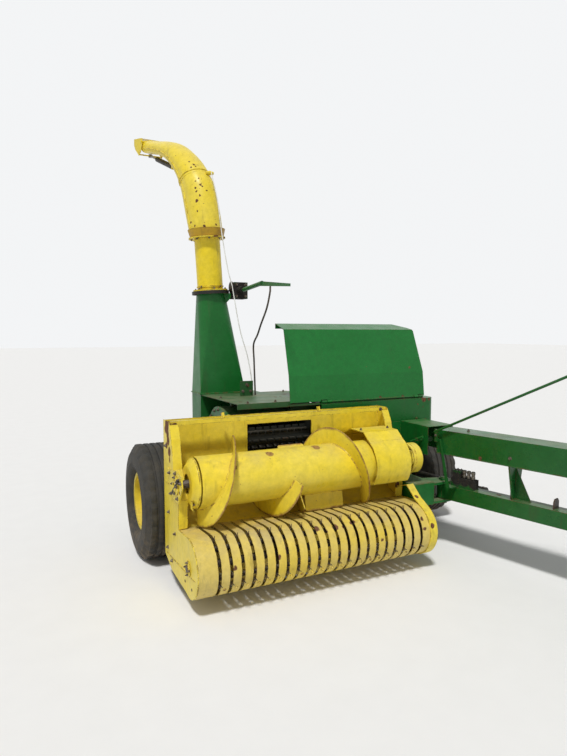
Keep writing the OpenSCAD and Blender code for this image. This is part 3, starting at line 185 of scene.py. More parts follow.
# Cords: a white two-core cable from the clip on the spout down to the deck, and a
# black rubber hose from the deck up to the turning motor, both hung between clips.
# Places are given from the drawing datum: head's middle, axle line, ground.
axle_middle = (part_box("tyre_right")[0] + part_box("tyre_right")[1]) / 2
head_middle = (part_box("stripper_bands")[0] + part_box("stripper_bands")[1]) / 2
datum = Vector((head_middle.x, axle_middle.y, 0))
cable_thick = 0.008
hose_thick = 0.014
cord_sides = 16
cable_spots = ((-0.192, 0.452, 2.929), (-0.170, 0.372, 2.695), (-0.151, 0.322, 2.409),
               (-0.116, 0.285, 2.128), (-0.088, 0.270, 2.008), (-0.076, 0.257, 1.912),
               (-0.040, 0.221, 1.646), (0.010, 0.194, 1.444), (0.034, 0.165, 1.260), (0.040, 0.150, 1.1203))
hose_spots = ((0.062, 0.152, 1.1203), (0.060, 0.158, 1.250), (0.056, 0.160, 1.400), (0.044, 0.140, 1.530),
              (0.020, 0.0, 1.610), (0.0, -0.114, 1.690), (0.0, -0.225, 1.810), (0.0, -0.285, 1.930),
              (0.0, -0.285, 1.9617))


def here(x, y, z):
    return datum + Vector((x, y, z))


def eased(a, b, c, d, t):
    """Point at t from 0 to 1 between b and c, on a smooth curve through all four."""
    second = 2 * a - 5 * b + 4 * c - d
    third = 3 * b - a - 3 * c + d
    return 0.5 * (2 * b + (c - a) * t + second * t ** 2 + third * t ** 3)


def smooth_route(spots, count):
    """Even points on one smooth curve through the given spots."""
    spots = [here(*spot) for spot in spots]
    ends = [2 * spots[0] - spots[1]] + spots + [2 * spots[-1] - spots[-2]]
    fine, fine_steps = [], 40
    for a, b, c, d in zip(ends, ends[1:], ends[2:], ends[3:]):
        fine += [eased(a, b, c, d, step / fine_steps) for step in range(fine_steps)]
    fine.append(spots[-1])
    run = [0.0]
    for a, b in zip(fine, fine[1:]):
        run.append(run[-1] + (b - a).length)
    route, at = [], 0
    for step in range(count):
        want = run[-1] * step / (count - 1)
        while at < len(run) - 2 and run[at + 1] < want:
            at += 1
        part = (want - run[at]) / max(run[at + 1] - run[at], 1e-9)
        route.append(fine[at].lerp(fine[at + 1], min(part, 1.0)))
    return route


def join_rings(made, rings, capped=True):
    """Skins a row of vertex rings of equal count; one face closes each end."""
    for low, high in zip(rings, rings[1:]):
        for corners in zip(low, low[1:] + low[:1], high[1:] + high[:1], high):
            made.faces.new(corners)
    if capped:
        made.faces.new(list(reversed(rings[0])))
        made.faces.new(rings[-1])


def tube_along(made, route, radius, sides, start_up=(0.3, 0.9, 0.1)):
    """Adds a closed round tube on the route; radius is one number or one for each point."""
    up = Vector(start_up)
    rings = []
    for step, spot in enumerate(route):
        ahead = (route[min(step + 1, len(route) - 1)] - route[max(step - 1, 0)]).normalized()
        across = ahead.cross(up).normalized()
        up = across.cross(ahead)
        size = radius[step] if isinstance(radius, (list, tuple)) else radius
        rings.append([made.verts.new(spot + size * (math.cos(turn) * across + math.sin(turn) * up))
                      for turn in (2 * math.pi * corner / sides for corner in range(sides))])
    join_rings(made, rings)


def finished(name, made, material, smooth_angle=None):
    bmesh.ops.recalc_face_normals(made, faces=made.faces)
    mesh = bpy.data.meshes.new(name)
    made.to_mesh(mesh)
    made.free()
    return mesh_object(name, mesh, material, smooth_angle)


def cord_jacket(name, colour, soiled, gloss):
    finish = Finish(name)
    soil = finish.noise(18.0, 6.0, 0.7)
    mixed = finish.mix(finish.ramp(soil, 0.42, 0.72), colour, soiled)
    sheen = finish.ramp(soil, 0.3, 0.7, gloss, gloss + 0.25)
    return finish.coat(mixed, sheen, finish.noise(300.0, 3.0, 0.5), 0.35, 0.0006)


cable_route = smooth_route(cable_spots, 34)
made = bmesh.new()
tube_along(made, cable_route, cable_thick / 2, cord_sides)
cable_jacket = cord_jacket("cable_white", (0.78, 0.78, 0.74, 1), (0.52, 0.50, 0.44, 1), 0.40)
cable = finished("white_cable", made, cable_jacket, 60)
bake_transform(cable)
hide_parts("spout_cable")

hose_route = smooth_route(hose_spots, 32)
made = bmesh.new()
tube_along(made, hose_route, hose_thick / 2, cord_sides)
hose_rubber = cord_jacket("hose_rubber_black", (0.040, 0.034, 0.027, 1), (0.11, 0.085, 0.06, 1), 0.45)
hose = finished("motor_hose", made, hose_rubber, 60)
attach(hose, "chassis")
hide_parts("rotator_hose")

# Axle and frames: square steel tube, welded and brush-painted green over old green,
# dusty on top and worn to brown rust along the corners and the low sides.
green_colour = (0.006, 0.120, 0.017, 1)
green_faded = (0.016, 0.150, 0.033, 1)
dust_colour = (0.34, 0.28, 0.19, 1)
rust_dark = (0.055, 0.024, 0.014, 1)
rust_light = (0.20, 0.085, 0.035, 1)
grime_colour = (0.060, 0.042, 0.026, 1)


def painted(name, paint, faded, chips=0.5, edges=0.5, dust=0.5, grime=0.4, gloss=0.40, marks=(),
            crest=None, rust=(rust_dark, rust_light), specks=0.0):
    """Brushed paint, faded, streaked, dusty on top and rusty at chips, edges and marks.

    A mark is (x, y, z, radius) from the datum; a crest is an axis (y, z) and the two radii
    between which the paint gives way; specks is the share of small cells that are rusty.
    """
    finish = Finish(name)
    noise, ramp, maths, vector, mix = finish.noise, finish.ramp, finish.maths, finish.vector, finish.mix
    finish.shader.inputs["Specular IOR Level"].default_value = 0.30
    normal = finish.node("ShaderNodeNewGeometry").outputs["Normal"]
    wobble = finish.node("ShaderNodeTexNoise", Vector=finish.place, Scale=14.0, Detail=6.0, Roughness=0.7)
    warp = vector("SUBTRACT", wobble.outputs["Color"], (0.5, 0.5, 0.5))
    rough_place = vector("ADD", finish.place, vector("MULTIPLY", warp, (0.05, 0.05, 0.05)))

    colour = mix(ramp(noise(1.7, 6.0, 0.65), 0.35, 0.68), paint, faded)
    mottle = ramp(noise(26.0, 5.0, 0.7), 0.3, 0.7, 0.86, 1.08)
    colour = mix(1.0, colour, mottle, "MULTIPLY")
    stretched = finish.node("ShaderNodeMapping", Vector=finish.place, i3=(9.0, 9.0, 1.4)).outputs[0]
    streak = ramp(noise(1.6, 7.0, 0.7, stretched), 0.56, 0.80, 0.0, grime)
    colour = mix(streak, colour, grime_colour)
    upward = ramp(finish.node("ShaderNodeSeparateXYZ", Vector=normal).outputs[2], 0.35, 0.95)
    settled = maths("MULTIPLY", upward, ramp(noise(5.0, 8.0, 0.7), 0.38, 0.72, 0.0, dust))
    colour = mix(settled, colour, dust_colour)

    worn = noise(17.0, 10.0, 0.72)
    chipped = ramp(worn, 0.735 - 0.10 * chips, 0.75 - 0.10 * chips)
    rounded = finish.node("ShaderNodeBevel", {"samples": 4}, Radius=0.006).outputs[0]
    corner = ramp(vector("DOT_PRODUCT", rounded, normal), 0.995, 0.93)
    worn_edge = maths("MULTIPLY", corner, ramp(worn, 0.60 - 0.16 * edges, 0.64 - 0.16 * edges))
    bare = maths("MAXIMUM", chipped, worn_edge)
    if crest:
        axis_y, axis_z, crest_from, crest_to = crest
        spot = finish.node("ShaderNodeSeparateXYZ", Vector=rough_place)
        reach_y = maths("SUBTRACT", spot.outputs[1], datum.y + axis_y)
        reach_z = maths("SUBTRACT", spot.outputs[2], datum.z + axis_z)
        squares = maths("ADD", maths("MULTIPLY", reach_y, reach_y), maths("MULTIPLY", reach_z, reach_z))
        bare = maths("MAXIMUM", bare, ramp(maths("SQRT", squares, 0), crest_from, crest_to))
    if specks:
        cells = finish.node("ShaderNodeTexVoronoi", Vector=rough_place, Scale=42.0)
        pick = finish.node("ShaderNodeSeparateXYZ", Vector=cells.outputs["Color"]).outputs[0]
        picked = ramp(pick, 1.0 - specks, 1.001 - specks)
        dots = maths("MULTIPLY", ramp(cells.outputs["Distance"], 0.17, 0.12), picked)
        bare = maths("MAXIMUM", bare, dots)
    for x, y, z, size in marks:
        away = vector("DISTANCE", rough_place, here(x, y, z))
        bare = maths("MAXIMUM", bare, ramp(away, size, size * 0.75))
    rusty = mix(ramp(noise(70.0), 0.35, 0.65), *rust)

    sheen = maths("ADD", ramp(noise(8.0, 6.0, 0.7), 0.3, 0.7, gloss - 0.08, gloss + 0.10),
                  maths("MULTIPLY", settled, 0.4))
    relief = maths("SUBTRACT", ramp(noise(160.0, 3.0), 0.3, 0.7, 0.0, 0.15), bare)
    height = maths("ADD", relief, ramp(noise(2.6, 4.0, 0.55), 0.3, 0.7, 0.0, 3.0))
    dull = maths("MAXIMUM", sheen, maths("MULTIPLY", bare, 0.9))
    return finish.coat(mix(bare, colour, rusty), dull, height)


def finish_node(node, finish):
    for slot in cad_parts[node].material_slots:
        slot.material = finish


def rippled_bead(made, start, end, size):
    """Adds one weld bead from start to end: a low ridge whose ripples lie 5 mm apart."""
    half_ripple = 0.0025
    start, end = here(*start), here(*end)
    steps = max(4, int((end - start).length / half_ripple))
    route = [start + (end - start) * (step / steps) for step in range(steps + 1)]
    sizes = []
    for step in range(steps + 1):
        from_end = min(step, steps - step) / steps
        sizes.append(size * (0.82 + 0.18 * (step % 2)) * min(1.0, 0.45 + 12 * from_end))
    tube_along(made, route, sizes, 6, (0.31, 0.47, 0.83))


def weld_beads(name, body, lines, size=0.005, finish=None):
    made = bmesh.new()
    for start, end in lines:
        rippled_bead(made, start, end, size)
    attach(finished(name, made, finish or frame_paint, 50), body)


frame_paint = painted("frame_green", green_colour, green_faded, chips=0.55, edges=0.7, dust=0.7)
for node in ("axle", "front_frame", "rear_frame"):
    finish_node(node, frame_paint)

# Fillet welds round the ends of the frame's tubes, in metres from the drawing datum.
beam_low, beam_high, axle_half = 0.365, 0.530, 0.055
beam_front, beam_sides = -0.868, (0.860, 1.050)
rail_low, rail_high, rail_rear, rail_half = 0.360, 0.460, 0.700, 0.050
frame_lines = []
for y in (-axle_half, beam_front):
    frame_lines += [((x, y, beam_low), (x, y, beam_high)) for x in beam_sides]
    frame_lines.append(((beam_sides[0], y, beam_high), (beam_sides[1], y, beam_high)))
for middle in (-0.450, 1.060):
    for y in (axle_half, rail_rear):
        low_x, high_x = middle - rail_half, middle + rail_half
        frame_lines += [((x, y, rail_low), (x, y, rail_high)) for x in (low_x, high_x)]
        frame_lines.append(((low_x, y, rail_high), (high_x, y, rail_high)))
hitch_x, hitch_y, hitch_high = 0.475, 0.800, 0.420
for side in (-1, 1):
    near = (hitch_x + side * 0.040, hitch_y, hitch_high)
    frame_lines.append((near, (hitch_x + side * 0.260, hitch_y, hitch_high)))
    frame_lines.append((near, (near[0], 1.140, hitch_high)))
weld_beads("frame_welds", "chassis", frame_lines)

# Tyres: black farm rubber with five ribs round the tread, the outer two cut by
# short cross notches, moulded rings on the side walls and a bead against the rim.
axle_high = 0.410
wheel_places = (("right", -0.800, -1), ("left", 1.575, 1))
tyre_steps = 160
notch_every = 5
notch_deep = 0.007
rib_edges = (-0.117, -0.0782, -0.0622, -0.0314, -0.0154, 0.0154, 0.0314, 0.0622, 0.0782, 0.117)


def tyre_profile():
    """Outer skin as (radius, offset, notched) from one bead to the other."""
    side = [(0.190, 0.104, 0), (0.2065, 0.1055, 0), (0.214, 0.110, 0), (0.222, 0.124, 0), (0.232, 0.135, 0),
            (0.236, 0.140, 0), (0.241, 0.1402, 0), (0.244, 0.1430, 0), (0.258, 0.1495, 0),
            (0.275, 0.1535, 0), (0.278, 0.1549, 0), (0.283, 0.1549, 0), (0.286, 0.1538, 0),
            (0.310, 0.1530, 0), (0.330, 0.1505, 0), (0.347, 0.1470, 0), (0.350, 0.1485, 0),
            (0.356, 0.1480, 0), (0.359, 0.1445, 0), (0.372, 0.138, 1), (0.386, 0.130, 1), (0.396, 0.122, 1)]
    tread = []
    for low, high in zip(rib_edges[0::2], rib_edges[1::2]):
        outer = 1 if abs(low + high) > 0.15 else 0
        tread += [(0.397, low - 0.0015, 0), (0.4085, low + 0.0015, outer), (0.4096, low + 0.005, outer),
                  (0.4096, high - 0.005, outer), (0.4085, high - 0.0015, outer), (0.397, high + 0.0015, 0)]
    return [(r, -o, n) for r, o, n in side] + tread + [(r, o, n) for r, o, n in reversed(side)]


on_axis = 0.0004


def lathe(made, profile, place, steps, notches=False):
    """Turns (radius, offset) points round the local Z axis of `place`.

    A profile that reaches the axis stops at the radius on_axis, so that no face collapses.
    """
    rings = []
    for step in range(steps):
        turn = 2 * math.pi * step / steps
        cut = notch_deep if notches and step % notch_every < 2 else 0.0
        ring = []
        for radius, offset, *notched in profile:
            radius -= cut if any(notched) else 0.0
            spot = Vector((radius * math.cos(turn), radius * math.sin(turn), offset))
            ring.append(made.verts.new(place @ spot))
        rings.append(ring)
    join_rings(made, rings + rings[:1], capped=False)


def moved(place, offset, *turns):
    """The frame `place` shifted in its own axes, then turned by ("Y", 90) and the like."""
    place = place @ Matrix.Translation(offset)
    for axis, degrees in turns:
        place = place @ Matrix.Rotation(math.radians(degrees), 4, axis)
    return place


def tyre_finish(name):
    finish = Finish(name)
    aged = finish.ramp(finish.noise(5.0, 8.0, 0.7), 0.38, 0.66)
    rubber = finish.mix(aged, (0.017, 0.017, 0.015, 1), (0.040, 0.038, 0.032, 1))
    height = finish.node("ShaderNodeSeparateXYZ", Vector=finish.place).outputs[2]
    patch = finish.noise(14.0, 8.0, 0.75)
    earth = finish.maths("MULTIPLY", finish.ramp(height, 0.34, 0.02, 0.12, 0.75),
                         finish.ramp(patch, 0.42, 0.62))
    cracks = finish.node("ShaderNodeTexVoronoi", {"feature": "DISTANCE_TO_EDGE"}, Vector=finish.place,
                         Scale=90.0)
    crack = finish.ramp(cracks.outputs["Distance"], 0.0, 0.05, -0.6, 0.0)
    relief = finish.maths("ADD", finish.noise(220.0, 4.0, 0.5), crack)
    soiled = finish.mix(earth, rubber, (0.21, 0.16, 0.10, 1))
    return finish.coat(soiled, finish.ramp(patch, 0.3, 0.7, 0.72, 0.95), relief)


at_datum = Matrix.Translation(datum)
tyre_rubber = tyre_finish("tyre_rubber_worn")
for label, x, away in wheel_places:
    made = bmesh.new()
    outer = tyre_profile()
    inner = [(0.214, -0.088), (0.240, -0.122), (0.285, -0.130), (0.340, -0.128), (0.372, -0.100),
             (0.380, -0.060), (0.380, 0.060), (0.372, 0.100), (0.340, 0.128), (0.285, 0.130),
             (0.240, 0.122), (0.214, 0.088)]
    section = outer + [(0.190, 0.072, 0)] + [(r, o, 0) for r, o in reversed(inner)] + [(0.190, -0.072, 0)]
    lathe(made, section, moved(at_datum, (x, 0, axle_high), ("Y", 90 * away)), tyre_steps, notches=True)
    tyre = finished("tyre_" + label + "_ribbed", made, tyre_rubber, 32)
    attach(tyre, "wheel_" + label)
    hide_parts("tyre_" + label)

# Rims: pressed steel in the same yellow as the head, with a cast hub, its dust cap
# and six nuts on each disc. The nuts, and all other bolt heads, come from one tree.
yellow_colour = (0.80, 0.605, 0.020, 1)
yellow_faded = (0.79, 0.635, 0.085, 1)
rim_yellow = painted("rim_yellow", (0.78, 0.59, 0.025, 1), (0.66, 0.52, 0.09, 1), chips=0.5, edges=0.7,
                     dust=0.6, grime=0.6)
for label, x, away in wheel_places:
    finish_node("rim_" + label, rim_yellow)


def metal_finish(name, colour, second, rough=0.45, metallic=0.7, rust=0.3):
    """Bare metal of two tones, browned by rust in the same spots."""
    finish = Finish(name)
    finish.shader.inputs["Metallic"].default_value = metallic
    spots = finish.noise(45.0, 8.0, 0.75)
    rusted = finish.ramp(spots, 0.62 - 0.22 * rust, 0.68 - 0.16 * rust)
    browned = finish.mix(rusted, finish.mix(spots, colour, second), (0.075, 0.036, 0.018, 1))
    dull = finish.ramp(spots, 0.35, 0.65, rough, min(1.0, rough + 0.4))
    return finish.coat(browned, dull, finish.noise(260.0, 3.0, 0.5), 0.3, 0.0006)


bolt_steel = metal_finish("bolt_steel", (0.24, 0.21, 0.17, 1), (0.12, 0.09, 0.065, 1), rust=0.5)


def scatter_tree(name, sizes):
    """New geometry tree that takes seed points, the named sizes and a finish.

    Gives the tree, its inputs, and a function for a part of a named size.
    """
    tree = bpy.data.node_groups.new(name, "GeometryNodeTree")
    face = tree.interface
    face.new_socket("Geometry", in_out="INPUT", socket_type="NodeSocketGeometry")
    for label, size in sizes:
        face.new_socket(label, in_out="INPUT", socket_type="NodeSocketFloat").default_value = size
    face.new_socket("Finish", in_out="INPUT", socket_type="NodeSocketMaterial")
    face.new_socket("Geometry", in_out="OUTPUT", socket_type="NodeSocketGeometry")
    given = tree.nodes.new("NodeGroupInput").outputs

    def share(label, part):
        return add_node(tree, "ShaderNodeMath", {"operation": "MULTIPLY"}, i0=given[label],
                        i1=part).outputs[0]

    return tree, given, share


def faced(tree, pivot="AUTO"):
    """Rotation that turns Z to each seed's facing."""
    facing = add_node(tree, "GeometryNodeInputNamedAttribute", {"data_type": "FLOAT_VECTOR"}, Name="facing")
    return add_node(tree, "FunctionNodeAlignRotationToVector", {"axis": "Z", "pivot_axis": pivot},
                    Vector=facing.outputs["Attribute"]).outputs[0]


def scattered(tree, given, shape, rotation):
    """Ends a scatter tree: one shape on every seed, made real and given its finish."""
    placed = add_node(tree, "GeometryNodeInstanceOnPoints", Points=given["Geometry"], Instance=shape,
                      Rotation=rotation)
    real = add_node(tree, "GeometryNodeRealizeInstances", Geometry=placed.outputs[0])
    coated = add_node(tree, "GeometryNodeSetMaterial", Geometry=real.outputs[0], Material=given["Finish"])
    tree.links.new(coated.outputs[0], tree.nodes.new("NodeGroupOutput").inputs[0])
    return tree


def bolt_tree():
    sizes = (("Head width", 0.019), ("Head height", 0.010), ("Washer width", 0.030))
    tree, given, share = scatter_tree("bolt_heads", sizes)
    head = add_node(tree, "GeometryNodeMeshCone", i0=6, i3=share("Head width", 0.50),
                    i4=share("Head width", 0.577), i5=given["Head height"])
    washer = add_node(tree, "GeometryNodeMeshCylinder", Vertices=20, Radius=share("Washer width", 0.5),
                      Depth=share("Head height", 0.26))
    stud = add_node(tree, "GeometryNodeMeshCylinder", Vertices=10, Radius=share("Head width", 0.30),
                    Depth=share("Head height", 0.7))
    lift = add_node(tree, "ShaderNodeCombineXYZ", i2=share("Head height", 1.2))
    raised = add_node(tree, "GeometryNodeTransform", Geometry=stud.outputs["Mesh"],
                      Translation=lift.outputs[0])
    joined = add_node(tree, "GeometryNodeJoinGeometry")
    for part in (head.outputs["Mesh"], washer.outputs["Mesh"], raised.outputs[0]):
        tree.links.new(part, joined.inputs[0])
    chance = add_node(tree, "FunctionNodeRandomValue", {"data_type": "FLOAT"}, i2=0.0, i3=1.047, Seed=7)
    spin = add_node(tree, "FunctionNodeAxisAngleToRotation", Axis=(0, 0, 1), Angle=chance.outputs[1])
    turned = add_node(tree, "FunctionNodeRotateRotation", {"rotation_space": "LOCAL"}, Rotation=faced(tree),
                      i1=spin.outputs[0])
    return scattered(tree, given, joined.outputs[0], turned.outputs[0])


bolt_heads = bolt_tree()


def grown(name, spots, tree, settings):
    """Runs a geometry tree on spots, each (x, y, z, facing), and keeps a plain mesh."""
    seeds = bpy.data.meshes.new(name + "_spots")
    seeds.from_pydata([here(*spot[:3]) for spot in spots], [], [])
    facing = seeds.attributes.new("facing", "FLOAT_VECTOR", "POINT")
    facing.data.foreach_set("vector", [part for spot in spots for part in spot[3]])
    holder = bpy.data.objects.new(name + "_seeds", seeds)
    bpy.context.collection.objects.link(holder)
    step = holder.modifiers.new("grow", "NODES")
    step.node_group = tree
    for item in tree.interface.items_tree:
        if item.item_type == "SOCKET" and item.in_out == "INPUT" and item.name in settings:
            step[item.identifier] = settings[item.name]
    bpy.context.view_layer.update()
    graph = bpy.context.evaluated_depsgraph_get()
    mesh = bpy.data.meshes.new_from_object(holder.evaluated_get(graph))
    holder.modifiers.remove(step)
    bpy.data.objects.remove(holder)
    mesh.name = name
    made = bpy.data.objects.new(name, mesh)
    bpy.context.collection.objects.link(made)
    return made


def bolts(name, body, spots, width=0.019, height=0.010, finish=None):
    """Hex heads on washers: spots are (x, y, z, facing) from the drawing datum."""
    settings = {"Head width": width, "Head height": height, "Washer width": width * 1.55,
                "Finish": finish or bolt_steel}
    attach(grown(name, spots, bolt_heads, settings), body)


def bolt_ring(centre, axis, radius, count, first=0.0):
    """Spots of a bolt circle about an axis, all facing along it."""
    axis = Vector(axis).normalized()
    side = axis.orthogonal().normalized()
    other = axis.cross(side)
    spots = []
    for step in range(count):
        turn = first + 2 * math.pi * step / count
        place = Vector(centre) + radius * (math.cos(turn) * side + math.sin(turn) * other)
        spots.append((*place, tuple(axis)))
    return spots


for label, x, away in wheel_places:
    disc = x - away * 0.024
    bolts("wheel_nuts_" + label, "wheel_" + label, bolt_ring((disc, 0, axle_high), (away, 0, 0), 0.095, 6),
          width=0.024, height=0.016)
    made = bmesh.new()
    stem = [here(x - away * 0.020, 0.118, axle_high), here(x - away * 0.004, 0.122, axle_high),
            here(x + away * 0.012, 0.136, axle_high), here(x + away * 0.024, 0.142, axle_high)]
    tube_along(made, stem, [0.005, 0.0045, 0.0042, 0.0055], 10, (0, 0, 1))
    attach(finished("valve_stem_" + label, made, hose_rubber, 50), "wheel_" + label)

# Cutter and blower housings: welded green sheet with bolted side plates; the drum and the rotor inside
# are bare steel. The feed housing and the feed rolls are near black: painted shade of the deep throat.
housing_green = painted("housing_green", (0.006, 0.105, 0.016, 1), (0.015, 0.130, 0.030, 1), chips=0.5,
                        edges=0.6, dust=0.7, grime=0.6)
for node in ("cutter_housing", "blower_housing"):
    finish_node(node, housing_green)
# Painted shade: the feed housing and rolls sit deep in the throat, so they are coloured near black.
throat_painted_shade = painted("throat_painted_shade", (0.006, 0.008, 0.006, 1), (0.013, 0.013, 0.010, 1), chips=0.0,
                      edges=0.15, dust=0.2, gloss=0.7)
for node in ("feed_housing", "feed_roll_upper", "feed_roll_lower"):
    finish_node(node, throat_painted_shade)
bare_steel = metal_finish("bare_steel", (0.22, 0.20, 0.18, 1), (0.12, 0.10, 0.08, 1), rust=0.6)
for node in ("cutter_drum", "blower_rotor"):
    finish_node(node, bare_steel)
drum_centre = (0.020, 0.800)
blower_middle = (0.137, 0.600, 0.648)
cutter_half = 0.300
bearing_reach = 0.085
side_spots = []
for side in (-1, 1):
    for spot in bolt_ring((side * cutter_half, *drum_centre), (side, 0, 0), 0.236, 16):
        behind_stay = side > 0 and spot[1] < -0.08 and spot[2] > 0.88
        if not behind_stay:
            side_spots.append(spot)
bolts("cutter_bolts", "chassis", side_spots)
rear_spots = []
for spot in bolt_ring(blower_middle, (0, 1, 0), 0.445, 24, first=0.06):
    on_a_foot = spot[2] < 0.47 and min(abs(spot[0] - foot) for foot in (0.377, -0.103)) < 0.05
    if not on_a_foot:
        rear_spots.append(spot)
bolts("blower_bolts", "chassis", rear_spots, width=0.016)
bearing_iron = painted("bearing_iron", (0.014, 0.090, 0.020, 1), (0.045, 0.060, 0.030, 1), chips=0.7,
                       edges=0.8, dust=0.6, grime=0.8)


def aimed(spot, way):
    """Frame at a spot in datum metres, its Z along the given way."""
    return moved(at_datum, spot) @ Vector(way).to_track_quat("Z", "Y").to_matrix().to_4x4()


def cast_bearing(name, body, centre, axis, radius, finish=None, height=0.022, bolt_count=4,
                 bolt_width=0.017):
    """Round cast flange bearing with a raised collar round its shaft and its bolts."""
    axis = Vector(axis).normalized()
    made = bmesh.new()
    share = ((0.30, 0.0), (0.98, 0.0), (1.0, 0.10), (1.0, 0.42), (0.96, 0.50), (0.62, 0.56), (0.56, 0.66),
             (0.54, 0.94), (0.50, 1.0), (0.34, 1.0), (0.30, 0.94))
    lathe(made, [(radius * r, height * h) for r, h in share], aimed(centre, axis), 48)
    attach(finished(name, made, finish or bearing_iron, 40), body)
    shelf = Vector(centre) + axis * height * 0.5
    bolts(name + "_bolts", body, bolt_ring(shelf, axis, radius * 0.79, bolt_count, first=math.pi / 4),
          width=bolt_width)


cast_bearing("cutter_bearing", "chassis", (-cutter_half, *drum_centre), (-1, 0, 0), bearing_reach)
cast_bearing("blower_bearing", "chassis", blower_middle, (0, 1, 0), bearing_reach)

# Tower and deck: the tower is folded green sheet that turns from a square foot to a
# round top under a machined ring with a black guard; the deck is one folded plate with
# a lip under its front edge, dented and scuffed, and bolts down over the housings.
tower_green = painted("tower_green", (0.005, 0.118, 0.016, 1), (0.012, 0.145, 0.027, 1), chips=0.35,
                      edges=0.7, dust=0.4, grime=0.5, gloss=0.34)
finish_node("tower", tower_green)
deck_marks = ((0.145, -0.06, 1.122, 0.020), (0.20, -0.03, 1.122, 0.014), (0.30, 0.10, 1.122, 0.022),
              (-0.221, -0.235, 1.122, 0.018), (-0.204, -0.308, 1.122, 0.015), (-0.02, 0.124, 1.20, 0.014))
deck_green = painted("deck_green", (0.016, 0.085, 0.020, 1), (0.045, 0.115, 0.040, 1), chips=0.55,
                     edges=0.7, dust=0.5, grime=0.6, marks=deck_marks)
finish_node("deck", deck_green)
tower_high, deck_high = 1.955, 1.120
foot_x, foot_y = (-0.333, 0.055), (0.360, 0.600)
ring_place = moved(at_datum, (-0.200, 0.480, tower_high), ("Y", -3.4))


def flat_plate(made, outline, place, thick):
    """Adds a closed plate: outline in the place's XY, thickness along its Z."""
    low = [made.verts.new(place @ Vector((x, y, 0))) for x, y in outline]
    high = [made.verts.new(place @ Vector((x, y, thick))) for x, y in outline]
    join_rings(made, [low, high])


foot_high = deck_high + 0.008
foot_spots = [(x, foot_y[1] + 0.004, foot_high, (0, 0, 1)) for x in (-0.30, -0.19, -0.09, 0.02)]
bolts("tower_foot_bolts", "chassis", foot_spots, width=0.016)
tower_lines = [((x, foot_y[0], foot_high), (x, foot_y[1], foot_high)) for x in foot_x]
tower_lines += [((foot_x[0], y, foot_high), (foot_x[1], y, foot_high)) for y in foot_y]
ring_rim = [ring_place @ Vector((0.118 * math.cos(turn), 0.118 * math.sin(turn), 0)) - datum
            for turn in (2 * math.pi * step / 40 for step in range(41))]
tower_lines += list(zip(ring_rim, ring_rim[1:]))
weld_beads("tower_welds", "chassis", tower_lines, 0.004, tower_green)
made = bmesh.new()
ring_section = [(0.1445, 0.0010), (0.1445, 0.0125), (0.1460, 0.0145), (0.1520, 0.0145), (0.1535, 0.0125),
                (0.1535, -0.0130), (0.1490, -0.0130), (0.1490, 0.0010)]
lathe(made, ring_section, ring_place, 96)
ring_iron = painted("ring_iron", (0.012, 0.012, 0.011, 1), (0.034, 0.028, 0.022, 1), chips=0.3, edges=0.6,
                    dust=0.3)
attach(finished("tower_ring_guard", made, ring_iron, 35), "chassis")
made = bmesh.new()
lip_place = moved(at_datum, (0, -0.262, 0), ("X", 90))
lip_from, lip_to, lip_low, lip_high = 0.172, 0.620, 1.028, 1.088
flat_plate(made, [(lip_from, lip_low), (lip_to, lip_low), (lip_to, lip_high), (lip_from, lip_high)],
           lip_place, 0.004)
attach(finished("deck_front_lip", made, deck_green, 30), "chassis")
latch_spots = [(x, 0.120, z, (0, -1, 0)) for x, z in ((-0.058, 1.158), (0.008, 1.158), (-0.025, 1.212))]
bolts("latch_bolts", "chassis", latch_spots, width=0.016)
deck_places = ((-0.20, -0.33), (0.02, -0.33), (0.17, -0.33), (0.36, -0.20), (0.52, -0.10), (-0.27, 0.05),
               (0.38, 0.29))
deck_spots = [(x, y, deck_high, (0, 0, 1)) for x, y in deck_places]
bolts("deck_bolts", "chassis", deck_spots, width=0.016)

# Gearbox and driveline cover: a cast iron case with bolted caps and ribs, painted
# over, and a folded sheet cover that bridges the pivot.
finish_node("gearbox", bearing_iron)
finish_node("driveline_cover", tower_green)
shaft_high = 0.800
case_x, case_y, case_top = (1.087, 1.327), (-0.290, -0.040), 0.910
cast_bearing("gearbox_front_cap", "chassis", (1.207, -0.330, shaft_high), (0, -1, 0), 0.058, height=0.012,
             bolt_count=6, bolt_width=0.012)
cast_bearing("gearbox_side_cap", "chassis", (case_x[1], -0.165, shaft_high), (1, 0, 0), 0.075, bolt_count=6)
lid_spots = []
for x in (case_x[0] + 0.022, (case_x[0] + case_x[1]) / 2 + 0.065, case_x[1] - 0.022):
    for y in (case_y[0] + 0.075, case_y[1] - 0.022):
        lid_spots.append((x, y, case_top, (0, 0, 1)))
bolts("gearbox_lid_bolts", "chassis", lid_spots, width=0.017)
made = bmesh.new()
rib_low, rib_thick = 0.695, 0.012
rib = ((0, 0), (0.016, 0), (0.016, 0.150), (0.004, 0.190), (0, 0.190))
for y in (-0.255, -0.075):
    flat_plate(made, rib, moved(at_datum, (case_x[1], y, rib_low), ("X", 90)), rib_thick)
for x in (1.120, 1.282):
    flat_plate(made, rib, moved(at_datum, (x, case_y[0], rib_low), ("Z", -90), ("X", 90)), rib_thick)
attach(finished("gearbox_ribs", made, bearing_iron, 30), "chassis")

